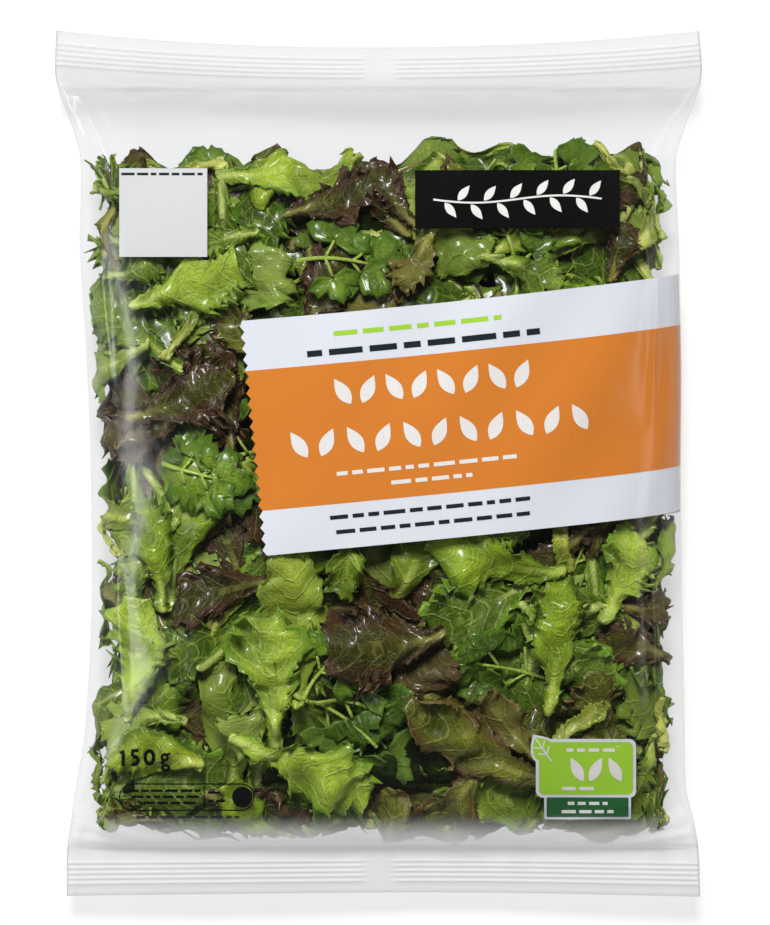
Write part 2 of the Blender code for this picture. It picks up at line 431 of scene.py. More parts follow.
@dataclass
class FilmTube:
    """The body between the seals as a tube.

    A spot on it is a turn, the share of the way round from the middle of the front (0.25 is the
    right side, 0.5 the middle of the back), and a place along the bag.
    """

    form: BagForm
    rows: int = 221
    turns: int = 480
    samples: int = 181
    smoothings: int = 6

    def __post_init__(self) -> None:
        """Lay out the tube's rings."""
        form, rows, turns, samples = self.form, self.rows, self.turns, self.samples
        self.alongs = np.linspace(form.bottom_root, form.top_root, rows)
        shares = np.sin(np.linspace(-np.pi / 2, np.pi / 2, samples))
        half = len(shares) // 2
        front = form.points(shares[None, :], self.alongs[:, None], True)
        back = form.points(shares[None, ::-1], self.alongs[:, None], False)
        ring = np.concatenate((front[:, half:], back[:, 1:], front[:, 1 : half + 1]), axis=1)
        steps = np.linalg.norm(np.diff(ring[..., (0, 2)], axis=1), axis=-1)
        reach = np.concatenate((np.zeros((rows, 1)), np.cumsum(steps, axis=1)), axis=1)
        self.girth = float(np.median(reach[:, -1]))
        left_start = ring.shape[1] - 1 - half
        self.turn_table = np.concatenate(
            (reach[:, left_start:-1] / reach[:, -1:] - 1.0, reach[:, : half + 1] / reach[:, -1:]),
            axis=1,
        )
        places = np.linspace(0.0, 1.0, turns + 1)
        self.rings = np.empty((rows, turns + 1, 3))
        for row in range(rows):
            for axis in range(3):
                stops = reach[row] / reach[row, -1]
                self.rings[row, :, axis] = np.interp(places, stops, ring[row, :, axis])
        self.normals = self._outward(self.rings)

    def _outward(self, rings: Array) -> Array:
        """Find the outward directions of a grid of rings, smoothed over their neighbours.

        Args:
            rings: The rings' points, where the last point of a ring is its first.

        Returns:
            One direction for each point.
        """
        open_rings = rings[:, :-1]
        round_step = np.roll(open_rings, -2, axis=1) - np.roll(open_rings, 2, axis=1)
        along_step = np.gradient(open_rings, axis=0)
        normals = np.cross(round_step, along_step)
        normals /= np.linalg.norm(normals, axis=-1, keepdims=True) + TINY
        for _ in range(self.smoothings):
            normals = normals + np.roll(normals, 1, axis=1) + np.roll(normals, -1, axis=1)
            normals /= np.linalg.norm(normals, axis=-1, keepdims=True) + TINY
        return np.concatenate((normals, normals[:, :1]), axis=1)

    def _read(self, grid: Array, turn: Array, along: Array) -> Array:
        """Read a grid of the tube between its points.

        Args:
            grid: Vectors by ring and by point round it.
            turn: Share of the way round.
            along: Place along the bag.

        Returns:
            The vector at each spot.
        """
        last = grid.shape[0] - 1
        row = (along - self.alongs[0]) / (self.alongs[-1] - self.alongs[0]) * last
        column = (turn % 1.0) * (grid.shape[1] - 1)
        return read_between(grid, np.clip(row, 0.0, last - 1e-6), column)

    def place(self, turn: Array, along: Array, depth: Array) -> Array:
        """Find points under the film.

        Args:
            turn: Share of the way round.
            along: Place along the bag.
            depth: How far inside the film.

        Returns:
            Points, with x, y and z last.
        """
        turn, along, depth = np.broadcast_arrays(turn, along, depth)
        surface = self._read(self.rings, turn, along)
        return surface - self._read(self.normals, turn, along) * depth[..., None]

    def spots(self, across: Array, place: Array) -> tuple[Array, Array]:
        """Find the turns and the places along of spots on the front, as seen from above.

        Args:
            across: Each spot's x.
            place: Each spot's y.

        Returns:
            The turns and the places along.
        """
        along, share = place, across * 0.0
        for _ in range(4):
            height = self.form.points(share, along, True)[..., 2]
            true_across, true_place = VIEWPOINT.under(across, place, height)
            share = true_across / self.form.half_width(true_across, along)
            along = true_place - self.form.bow(along) * (1.0 - np.clip(share, -1.0, 1.0) ** 2)
        column = np.arcsin(np.clip(share, -1.0, 1.0)) / np.pi + 0.5
        row = (along - self.alongs[0]) / (self.alongs[-1] - self.alongs[0])
        last_row, last_column = len(self.alongs) - 1, self.turn_table.shape[1] - 1
        row = np.clip(row, 0.0, 1.0) * last_row
        return read_between(self.turn_table, row, column * last_column), along


@dataclass
class Sheaf:
    """Thin closed shells gathered into one mesh, each with its own cell of the bake map.

    A cell holds the upper face on the left, the lower face on the right and the rim along its top.
    """

    name: str
    points: list[Array] = field(default_factory=list)
    triangles: list[Array] = field(default_factory=list)
    cells: list[Array] = field(default_factory=list)
    marks: dict[str, list[Array]] = field(default_factory=dict)
    face_size: Pair = (0.47, 0.92)
    upper_corner: Pair = (0.01, 0.01)
    lower_corner: Pair = (0.52, 0.01)
    rim_level: float = 0.95
    rim_height: float = 0.035
    rim_fill: float = 0.9

    def add(
        self,
        upper: Array,
        lower: Array,
        triangles: Array,
        plane: Array,
        marks: dict[str, tuple[Array, Array]],
    ) -> None:
        """Add one shell: an upper and a lower face of the same triangles, joined by a rim.

        Args:
            upper: Points of the upper face, one row each.
            lower: Points of the lower face, in the same order.
            triangles: Three points of the upper face each, anticlockwise from outside.
            plane: Each point's place on the shell laid flat.
            marks: Vectors for each point of the upper and the lower face, by name.
        """
        number = len(upper)
        edges = triangles[:, [0, 1, 1, 2, 2, 0]].reshape(-1, 2)
        codes = edges[:, 0] * number + edges[:, 1]
        rim = edges[~np.isin(codes, edges[:, 1] * number + edges[:, 0])]
        start, end = rim[:, 0], rim[:, 1]
        sides = np.concatenate(
            (
                np.stack((end, start, start + number), axis=1),
                np.stack((end, start + number, end + number), axis=1),
            )
        )
        faces = np.concatenate((triangles, triangles[:, ::-1] + number, sides))
        low, high = plane.min(axis=0), plane.max(axis=0)
        flat = (plane - low) / np.maximum(high - low, 1e-9)
        upper_cell = flat[triangles] * self.face_size + self.upper_corner
        lower_cell = flat[triangles[:, ::-1]] * self.face_size + self.lower_corner
        step = np.arange(len(rim)) / max(1, len(rim))
        width = self.rim_fill / max(1, len(rim))
        left, right = np.full((2, len(rim), 2), self.rim_level)
        left[:, 0], right[:, 0] = step, step + width
        lift = np.array((0.0, self.rim_height))
        side_cells = np.concatenate(
            (
                np.stack((right, left, left + lift), axis=1),
                np.stack((right, left + lift, right + lift), axis=1),
            )
        )
        base = sum(len(part) for part in self.points)
        self.points.extend((upper, lower))
        self.triangles.append(faces + base)
        self.cells.append(np.concatenate((upper_cell, lower_cell, side_cells)))
        for name, pair in marks.items():
            self.marks.setdefault(name, []).extend(pair)

    def build(self, material: bpy.types.Material, slot: str, smooth: bool = True) -> Piece:
        """Make the piece, and let it ride on the bag.

        Args:
            material: The piece's finish.
            slot: The record's material slot; not used.
            smooth: False where its rims are crisp, as those of ink are.

        Returns:
            The piece.
        """
        side = math.ceil(math.sqrt(len(self.cells)))
        corners = []
        for number, cell in enumerate(self.cells):
            corner = np.array((number % side, number // side))
            corners.append((cell + corner) / side)
        piece = mesh_piece(
            self.name,
            np.concatenate(self.points),
            np.concatenate(self.triangles),
            {"OFBake": np.concatenate(corners)},
            {name: np.concatenate(parts) for name, parts in self.marks.items()},
        )
        if not smooth:
            piece.data.shade_flat()
        piece.data.materials.append(material)
        enlist(piece)
        return piece


def mesh_piece(
    name: str,
    points: Array,
    triangles: Array,
    maps: dict[str, Array],
    marks: dict[str, Array],
) -> Piece:
    """Make a smooth mesh object from arrays.

    Args:
        name: The object's name.
        points: One row for each point.
        triangles: Three point numbers each.
        maps: UV maps by name, with one place for each corner of each triangle.
        marks: Vector attributes by name, with one vector for each point.

    Returns:
        The object.
    """
    mesh = bpy.data.meshes.new(name)
    mesh.vertices.add(len(points))
    mesh.vertices.foreach_set("co", points.astype(np.float32).ravel())
    mesh.loops.add(triangles.size)
    mesh.loops.foreach_set("vertex_index", triangles.astype(np.int32).ravel())
    mesh.polygons.add(len(triangles))
    mesh.polygons.foreach_set("loop_start", np.arange(0, triangles.size, 3, dtype=np.int32))
    mesh.update(calc_edges=True)
    for map_name, corners in maps.items():
        layer = mesh.uv_layers.new(name=map_name)
        layer.uv.foreach_set("vector", corners.reshape(-1, 2).astype(np.float32).ravel())
    for mark_name, vectors in marks.items():
        mark = mesh.attributes.new(mark_name, "FLOAT_VECTOR", "POINT")
        mark.data.foreach_set("vector", vectors.astype(np.float32).ravel())
    mesh.shade_smooth()
    piece = bpy.data.objects.new(name, mesh)
    bpy.context.scene.collection.objects.link(piece)
    return piece


def enlist(piece: Piece) -> None:
    """Let a piece of the bag or its contents stand for the solid, and report it.

    Args:
        piece: The piece.
    """
    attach(piece, BODY)
    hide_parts(BAG_NODE)
    LOG.info("%s: %d triangles", piece.name, len(piece.data.polygons))


def grid_triangles(rows: int, columns: int) -> Array:
    """Split a grid of points into triangles, all along the same diagonal.

    Args:
        rows: Number of rows of points.
        columns: Number of points in a row.

    Returns:
        Three point numbers each, anticlockwise where rows run up and columns to the right.
    """
    low = (np.arange(rows - 1)[:, None] * columns + np.arange(columns - 1)[None, :]).ravel()
    return np.concatenate(
        (
            np.stack((low, low + 1, low + columns + 1), axis=1),
            np.stack((low, low + columns + 1, low + columns), axis=1),
        )
    )


@dataclass(frozen=True)
class Value:
    """A number in a material's nodes, on which Python's operators add Math nodes."""

    shop: "NodeShop"
    socket: bpy.types.NodeSocket

    def _math(self, operation: str, *values: object) -> "Value":
        """Add one Math node."""
        settings = {"operation": operation}
        return self.shop.add("ShaderNodeMath", settings, dict(enumerate(values)))

    def __add__(self, other: object) -> "Value":
        """Add."""
        return self._math("ADD", self, other)

    def __radd__(self, other: object) -> "Value":
        """Add to a plain number."""
        return self._math("ADD", other, self)

    def __sub__(self, other: object) -> "Value":
        """Subtract."""
        return self._math("SUBTRACT", self, other)

    def __rsub__(self, other: object) -> "Value":
        """Subtract from a plain number."""
        return self._math("SUBTRACT", other, self)

    def __mul__(self, other: object) -> "Value":
        """Multiply."""
        return self._math("MULTIPLY", self, other)

    def __rmul__(self, other: object) -> "Value":
        """Multiply a plain number."""
        return self._math("MULTIPLY", other, self)

    def __pow__(self, other: object) -> "Value":
        """Raise to a power."""
        return self._math("POWER", self, other)

    def __abs__(self) -> "Value":
        """Take away the sign."""
        return self._math("ABSOLUTE", self)

    def fold(self, half: float) -> "Value":
        """Give the distance to the nearest multiple of twice half."""
        return self._math("PINGPONG", self, half)

    def step(self, low: float, high: float) -> "Value":
        """Step softly from 0 at low to 1 at high, or the other way where low is above high.

        Args:
            low: The number that gives 0.
            high: The number that gives 1.

        Returns:
            The stepped number.
        """
        settings = {"interpolation_type": "SMOOTHSTEP"}
        falling = low > high
        limits = {1: min(low, high), 2: max(low, high), 3: float(falling), 4: float(not falling)}
        return self.shop.add("ShaderNodeMapRange", settings, {0: self, **limits})


class NodeShop:
    """Builds one material's nodes."""

    def __init__(self, name: str) -> None:
        """Start a material with nothing but its output.

        Args:
            name: The material's name.
        """
        self.material = bpy.data.materials.new(name)
        self.material.use_nodes = True
        self.tree = self.material.node_tree
        self.tree.nodes.clear()
        self.output = self.tree.nodes.new("ShaderNodeOutputMaterial")

    def add(
        self, kind: str, settings: dict[str, object], inputs: dict, output: int | str = 0
    ) -> Value:
        """Add a node.

        Args:
            kind: The node's type.
            settings: What is set on the node first, such as its operation.
            inputs: Values or links of its sockets, by number or name.
            output: Which of its outputs to give back.

        Returns:
            The output, ready for more maths.
        """
        node = self.tree.nodes.new(kind)
        for key, setting in settings.items():
            setattr(node, key, setting)
        for key, value in inputs.items():
            socket = node.inputs[key]
            if isinstance(value, Value):
                self.tree.links.new(value.socket, socket)
            else:
                socket.default_value = value
        return Value(self, node.outputs[output])

    def mix(self, first: object, second: object, factor: object) -> Value:
        """Mix two colours.

        Args:
            first: The colour at factor 0.
            second: The colour at factor 1.
            factor: How far to go.

        Returns:
            The mixed colour.
        """
        ends = [end if isinstance(end, Value) else (*end, 1.0) for end in (first, second)]
        inputs = {0: factor, 6: ends[0], 7: ends[1]}
        return self.add("ShaderNodeMix", {"data_type": "RGBA"}, inputs, 2)

    def marks(self, name: str) -> tuple[Value, Value, Value]:
        """Read a vector attribute of the mesh.

        Args:
            name: The attribute's name.

        Returns:
            Its three numbers.
        """
        settings = {"attribute_type": "GEOMETRY", "attribute_name": name}
        vector = self.add("ShaderNodeAttribute", settings, {}, "Vector")
        node = self.add("ShaderNodeSeparateXYZ", {}, {0: vector}).socket.node
        return tuple(Value(self, socket) for socket in node.outputs)

    def place(self) -> Value:
        """Read the place on the object, in metres."""
        return self.add("ShaderNodeTexCoord", {}, {}, "Object")

    def noise(self, scale: float, detail: float = 2.0, roughness: float = 0.5) -> Value:
        """Read soft noise about 0.5, with scale spots in a metre."""
        inputs = {"Vector": self.place(), "Scale": scale, "Detail": detail, "Roughness": roughness}
        return self.add("ShaderNodeTexNoise", {}, inputs)

    def bump(self, height: Value, depth: float, strength: float = 1.0) -> Value:
        """Turn a height into a bumped normal, where a height of 1 stands depth metres out."""
        inputs = {"Height": height, "Distance": depth, "Strength": strength}
        return self.add("ShaderNodeBump", {}, inputs)

    def blend(self, first: Value, second: Value, factor: object) -> Value:
        """Mix two shaders."""
        return self.add("ShaderNodeMixShader", {}, {0: factor, 1: first, 2: second})

    def finish(self, shader: Value) -> bpy.types.Material:
        """Put a shader on the output, and give the material."""
        self.tree.links.new(shader.socket, self.output.inputs["Surface"])
        return self.material


@dataclass(frozen=True)
class LeafFinish:
    """A fresh leaf: pale rib, angled side veins, a margin of its own colour, a soft gloss, painted
    depth shade.
    """

    name: str
    deep: Colour
    light: Colour
    margin: Colour
    rib: Colour
    under: Colour
    glow: Colour
    margin_from: float = 0.8
    margin_blotch: float = 0.0
    vein_share: float = 0.26
    roughness: float = 0.36
    through: float = 0.22
    coat: float = 0.38
    coat_roughness: float = 0.19
    vein_half_spacing: float = 0.0034
    vein_wander: float = 0.0024
    patch_scale: float = 90.0
    mottle_scale: float = 420.0
    fibre_scale: float = 1500.0
    net_scale: float = 520.0
    relief: float = 0.00035

    def make(self) -> bpy.types.Material:
        """Build the material.

        Returns:
            The leaf's material.
        """
        shop = NodeShop(self.name)
        reach, across, rib_share = shop.marks("spot")
        tone, edge, underside = shop.marks("look")
        patches = shop.noise(self.patch_scale, 3.0)
        mottle = shop.noise(self.mottle_scale, 2.0)
        run = {0: across, 1: reach * 0.10, 2: tone * 0.05}
        grain = {"Vector": shop.add("ShaderNodeCombineXYZ", {}, run), "Scale": self.fibre_scale}
        fibre = shop.add("ShaderNodeTexNoise", {}, {**grain, "Detail": 2.0})
        wander = (shop.noise(160.0, 1.0) - 0.5) * self.vein_wander
        vein_line = (reach - abs(across) * 0.9 + wander).fold(self.vein_half_spacing)
        side_vein = vein_line.step(0.00062, 0.00014) * (1.0 - edge.step(0.82, 1.0))
        flat_place = shop.add("ShaderNodeCombineXYZ", {}, {0: reach, 1: across})
        cells = shop.add(
            "ShaderNodeTexVoronoi",
            {"voronoi_dimensions": "2D", "feature": "DISTANCE_TO_EDGE"},
            {"Vector": flat_place, "Scale": self.net_scale},
        )
        net = cells.step(0.16, 0.02)
        # Painted shade: the lightness mark is lowered for inner layers and deep parts, so the deep
        # green also serves as painted shade.
        green = shop.mix(self.deep, self.light, tone * 0.95 + (patches - 0.5) * 1.0)
        green = shop.mix(green, self.deep, mottle.step(0.52, 0.72) * 0.30)
        green = shop.mix(green, self.deep, fibre.step(0.50, 0.34) * 0.45)
        green = shop.mix(green, self.rib, fibre.step(0.52, 0.70) * (1.0 - edge) * 0.45)
        reach_in = edge + (patches - 0.5) * 1.6 * self.margin_blotch
        reddened = reach_in.step(self.margin_from - 0.25, self.margin_from + 0.12)
        green = shop.mix(green, self.margin, reddened)
        green = shop.mix(green, self.rib, side_vein * self.vein_share + net * 0.10)
        green = shop.mix(green, self.under, underside * 0.55)
        colour = shop.mix(green, self.rib, rib_share.step(0.30, 1.0) * 0.8)
        height = net * -0.35 + side_vein * 0.9 + mottle * 0.5 + fibre * 0.7
        normal = shop.bump(height, self.relief, 0.8)
        surface = shop.add(
            "ShaderNodeBsdfPrincipled",
            {},
            {
                "Base Color": colour,
                "Roughness": self.roughness + mottle * 0.16,
                "Normal": normal,
                "Specular IOR Level": 0.20,
                "Coat Weight": self.coat,
                "Coat Roughness": self.coat_roughness,
            },
        )
        glow = shop.add("ShaderNodeBsdfTranslucent", {}, {"Color": (*self.glow, 1.0)})
        return shop.finish(shop.blend(surface, glow, self.through))


@dataclass(frozen=True)
class FilmFinish:
    """Clear glossy film: slightly milky, whiter where it is crimped, brighter at a slant; its milk
    glows as painted light.
    """

    name: str = "clear_film"
    tint: Colour = (0.940, 0.943, 0.945)
    milk: Colour = (0.45, 0.45, 0.455)
    haze: float = 0.0015
    slant_haze: float = 0.12
    seal_haze: float = 0.42
    # Glow of the milky film, painted light that keeps its haze bright on slopes facing away from
    # the lamps.
    lift: float = 0.26
    gloss: float = 0.80
    roughness: float = 0.21
    least_mirror: float = 0.037
    crinkle_scale: float = 46.0
    fine_crinkle_scale: float = 160.0
    crinkle_height: float = 0.0012

    def make(self) -> bpy.types.Material:
        """Build the material.

        Returns:
            The film's material.
        """
        shop = NodeShop(self.name)
        seal, milky, _ = shop.marks("film")
        crinkle = shop.noise(self.crinkle_scale, 2.0) * 0.8
        crinkle = crinkle + shop.noise(self.fine_crinkle_scale, 1.0) * 0.3
        normal = shop.bump(crinkle, self.crinkle_height, 0.5)
        facing = {"Blend": 0.5, "Normal": normal}
        slant = shop.add("ShaderNodeLayerWeight", {}, facing, "Facing")
        mirror_share = self.least_mirror + slant**5 * 0.55
        clear = shop.add("ShaderNodeBsdfTransparent", {}, {"Color": (*self.tint, 1.0)})
        shine = shop.add(
            "ShaderNodeBsdfAnisotropic",
            {},
            {"Color": (1.0, 1.0, 1.0, 1.0), "Roughness": self.roughness, "Normal": normal},
        )
        film = shop.blend(clear, shine, mirror_share * self.gloss)
        milk = shop.add(
            "ShaderNodeBsdfPrincipled",
            {},
            {
                "Base Color": (*self.milk, 1.0),
                "Roughness": 0.35,
                "Normal": normal,
                # Painted light: the milk glows by itself.
                "Emission Color": (1.0, 1.0, 1.0, 1.0),
                "Emission Strength": self.lift,
            },
        )
        cloud = slant**2 * self.slant_haze + seal * self.seal_haze + milky + self.haze
        return shop.finish(shop.blend(film, milk, cloud))


@dataclass(frozen=True)
class InkFinish:
    """Ink on the film's inner face: even, a little mottled where it lies thin."""

    name: str
    colour: Colour
    thin: Colour
    roughness: float = 0.45
    grain_scale: float = 900.0
    grain_height: float = 0.00004

    def make(self) -> bpy.types.Material:
        """Build the material.

        Returns:
            The ink's material.
        """
        shop = NodeShop(self.name)
        grain = shop.noise(self.grain_scale, 2.0)
        colour = shop.mix(self.colour, self.thin, grain.step(0.45, 0.75) * 0.5)
        normal = shop.bump(grain, self.grain_height)
        ink = shop.add(
            "ShaderNodeBsdfPrincipled",
            {},
            {
                "Base Color": colour,
                "Roughness": self.roughness + grain * 0.1,
                "Normal": normal,
                "Specular IOR Level": 0.05,
            },
        )
        return shop.finish(ink)


@dataclass(frozen=True)
class HeartFinish:
    """A dark core painted in the colour of deep shade, for where no light reaches between the
    leaves.
    """

    name: str = "painted_shade_core"
    # Painted shade: near-black greens that stand in for the shadow deep between the leaves.
    dark: Colour = (0.006, 0.010, 0.002)
    light: Colour = (0.020, 0.034, 0.006)
    patch_scale: float = 110.0
    relief: float = 0.004

    def make(self) -> bpy.types.Material:
        """Build the material.

        Returns:
            The heart's material.
        """
        shop = NodeShop(self.name)
        patches = shop.noise(self.patch_scale, 4.0, 0.6)
        colour = shop.mix(self.dark, self.light, patches.step(0.4, 0.7))
        heart = shop.add(
            "ShaderNodeBsdfPrincipled",
            {},
            {
                "Base Color": colour,
                "Roughness": 0.8,
                "Normal": shop.bump(patches, self.relief),
                "Specular IOR Level": 0.1,
            },
        )
        return shop.finish(heart)


@dataclass(frozen=True)
class FloorFinish:
    """A plain pale studio floor."""

    name: str = "pale_floor"
    colour: Colour = (0.300, 0.300, 0.300)
    glow: float = 0.64
    grain_scale: float = 30.0

    def make(self) -> bpy.types.Material:
        """Build the material.

        Returns:
            The floor's material.
        """
        shop = NodeShop(self.name)
        grain = shop.noise(self.grain_scale, 2.0)
        colour = shop.mix(self.colour, [part * 0.99 for part in self.colour], grain)
        floor = shop.add(
            "ShaderNodeBsdfPrincipled",
            {},
            {
                "Base Color": colour,
                "Roughness": 0.8,
                "Specular IOR Level": 0.2,
                "Emission Color": (1.0, 1.0, 1.0, 1.0),
                "Emission Strength": self.glow,
            },
        )
        return shop.finish(floor)


@dataclass
class Blade:
    """One thin leaf part as a grid, with rows along it and columns across it."""

    reach: Array
    across: Array
    lift: Array
    thickness: Array
    spot_reach: Array
    spot_across: Array
    rib_share: Array
    edge: Array

    def moved(self, reach: float, across: float, turn: float) -> "Blade":
        """Turn the blade in its plane, then move it.

        Args:
            reach: How far to move it lengthwise.
            across: How far to move it sideways.
            turn: How far to turn it first, in radians.

        Returns:
            The moved blade.
        """
        new_reach = self.reach * math.cos(turn) - self.across * math.sin(turn) + reach
        new_across = self.reach * math.sin(turn) + self.across * math.cos(turn) + across
        return replace(self, reach=new_reach, across=new_across)


@dataclass(frozen=True)
class Habit:
    """How one kind of leaf grows: its outline, margin and folds, with their spread."""

    length: Pair
    half_width: Pair
    outline: tuple[float, ...]
    tear: float = 0.24
    lobes: float = 4.0
    lobe_depth: float = 0.25
    tooth: float = 0.0009
    frill_waves: float = 6.0
    frill_height: float = 0.0032
    pucker: float = 0.0006
    crumple: float = 0.0017
    roll: float = 1.25
    arch: float = 0.55
    twist: float = 0.45
    bow: float = 0.30
    rib: float = 0.0016
    rib_height: float = 0.0011
    thickness: float = 0.00030

    def _side(self, rng: Rng, part: Array) -> Array:
        """Draw the outline of one side, torn a little differently each time.

        Args:
            rng: Source of the tears.
            part: Shares of the way from base to tip, in a column.

        Returns:
            Shares of the greatest half width, in a column.
        """
        stations = np.linspace(0.0, 1.0, len(self.outline))
        drawn = np.array(self.outline) * rng.uniform(1 - self.tear, 1 + self.tear, len(stations))
        line = np.interp(part[:, 0], stations, drawn)
        for _ in range(3):
            line[1:-1] = (line[:-2] + 2 * line[1:-1] + line[2:]) / 4
        return line[:, None]

    def grow(self, rng: Rng, rows: int, columns: int, scale: float) -> list[Blade]:
        """Grow one leaf.

        Args:
            rng: Source of the leaf's own shape.
            rows: Grid rows, from the cut base to the tip.
            columns: Grid columns, from one margin to the other.
            scale: Its size beside a full leaf of its kind.

        Returns:
            The leaf's one blade, about its middle.
        """
        length = scale * rng.uniform(*self.length)
        widest = scale * rng.uniform(*self.half_width)
        part = np.linspace(0.0, 1.0, rows)[:, None]
        line = np.linspace(-1.0, 1.0, columns)[None, :]
        out = np.abs(line) * (1.12 - 0.12 * line**2)
        right_side = line > 0
        phases = rng.uniform(0.0, 2 * np.pi, 12)
        half = widest * np.where(right_side, self._side(rng, part), self._side(rng, part))
        side_phase = np.where(right_side, phases[0], phases[1])
        sinus = np.abs(np.sin(np.pi * self.lobes * part + side_phase)) ** 0.5
        lobing = 1.0 - self.lobe_depth * (1.0 - sinus) * out**2
        jitter = rng.uniform(0.3, 1.0, (rows, 1)) * (1.0 - 2.0 * (np.arange(rows)[:, None] % 2))
        tooth = self.tooth * jitter * out**8 * np.minimum(1.0, 2.5 * half / widest)
        spot_across = half * out
        reach_out = spot_across * lobing + tooth
        wander = 0.09 * np.sin(2 * np.pi * 1.6 * part + phases[2])
        phase = 2 * np.pi * self.frill_waves * (part + wander)
        phase = phase + np.where(right_side, phases[3], phases[4])
        frill = self.frill_height * (0.35 + 0.65 * scale) * np.minimum(1.0, 1.6 * half / widest)
        wave = out**2.2 * np.sin(phase) + 0.40 * out**3.5 * np.sin(2.3 * phase + phases[5])
        wave = wave + 0.13 * out**2 * np.sin(5.1 * phase + phases[6])
        lift = frill * wave
        vein_run = 0.57 * length * part - 0.82 * spot_across
        lift = lift + self.pucker * np.sin(2 * np.pi * vein_run / 0.0052) * 4 * out * (1.05 - out)
        for _ in range(5):
            run, fold = rng.uniform(0.0, 2 * np.pi), rng.uniform(0.010, 0.024)
            way = length * part * math.cos(run) + half * line * math.sin(run)
            ridge = np.abs(np.sin(np.pi * way / fold + rng.uniform(0.0, np.pi)))
            lift = lift + self.crumple * fold / 0.015 * (ridge - 0.64)
        swing = 0.65 + 0.55 * np.sin(2 * np.pi * 0.8 * part + phases[7])
        rolls = rng.uniform(-1.0, 1.0, 2) * self.roll
        bend = np.where(right_side, rolls[0], 0.6 * rolls[1] + 0.4 * rolls[0]) * swing
        bend = bend * reach_out / widest
        bend = np.where(np.abs(bend) < 1e-3, 1e-3, bend)
        rolled_lift = reach_out * (1.0 - np.cos(bend)) / bend + lift * np.cos(bend)
        rolled = reach_out * np.sin(bend) / bend - lift * np.sin(bend)
        rolled = rolled - 0.35 * frill * out**3 * (1.0 - np.cos(phase))
        across = rolled * np.sign(line)
        arch, twist, bow = rng.uniform(-1.0, 1.0, 3)
        slope = self.arch * (arch * (2 * part - 1.0) + 0.6 * np.sin(2 * np.pi * part + phases[8]))
        slope = slope - slope.mean()
        step = length / (rows - 1)
        spine_reach = np.concatenate(([[0.0]], np.cumsum(np.cos(slope[:-1]) * step, 0)))
        spine_lift = np.concatenate(([[0.0]], np.cumsum(np.sin(slope[:-1]) * step, 0)))
        sweep = 0.45 * half * out**1.5 * (1.0 - part) + 0.7 * frill * out**3 * np.cos(phase)
        reach = spine_reach + sweep - rolled_lift * np.sin(slope)
        height = spine_lift + rolled_lift * np.cos(slope)
        height = height + self.twist * twist * half * out * np.sign(line) * (2 * part - 0.8)
        height = height + 0.0009 * np.sin(9 * part + 3 * line + phases[9])
        height = height + 0.0006 * np.sin(19 * part - 5 * line + phases[10])
        across = across + self.bow * bow * length * (part - 0.4) ** 2
        rib_half = self.rib * (1.15 - 0.85 * part)
        rib_share = np.exp(-((spot_across / rib_half) ** 2)) * (1.0 - 0.75 * part)
        blade = Blade(
            reach - length / 2,
            across,
            height - height.mean(),
            self.thickness + self.rib_height * rib_share,
            length * part + 0.0 * line,
            spot_across,
            rib_share,
            out + 0.0 * part,
        )
        return [blade]


def strip(path: Array, half_width: Array, thickness: float) -> Blade:
    """Make a stem along a path.

    Args:
        path: The stem's points in its plane.
        half_width: Half the stem's width at each point.
        thickness: The stem's thickness at its middle.

    Returns:
        The stem's blade.
    """
    ahead = np.gradient(path, axis=0)
    ahead /= np.linalg.norm(ahead, axis=1, keepdims=True)
    line = np.linspace(-1.0, 1.0, 5)[None, :]
    reach = path[:, :1] - ahead[:, 1:] * half_width[:, None] * line
    across = path[:, 1:] + ahead[:, :1] * half_width[:, None] * line
    level = np.zeros_like(reach)
    round_off = thickness * np.sqrt(1.0 - 0.92 * line**2)
    return Blade(reach, across, level, level + round_off, reach, level, level + 1.0, level)


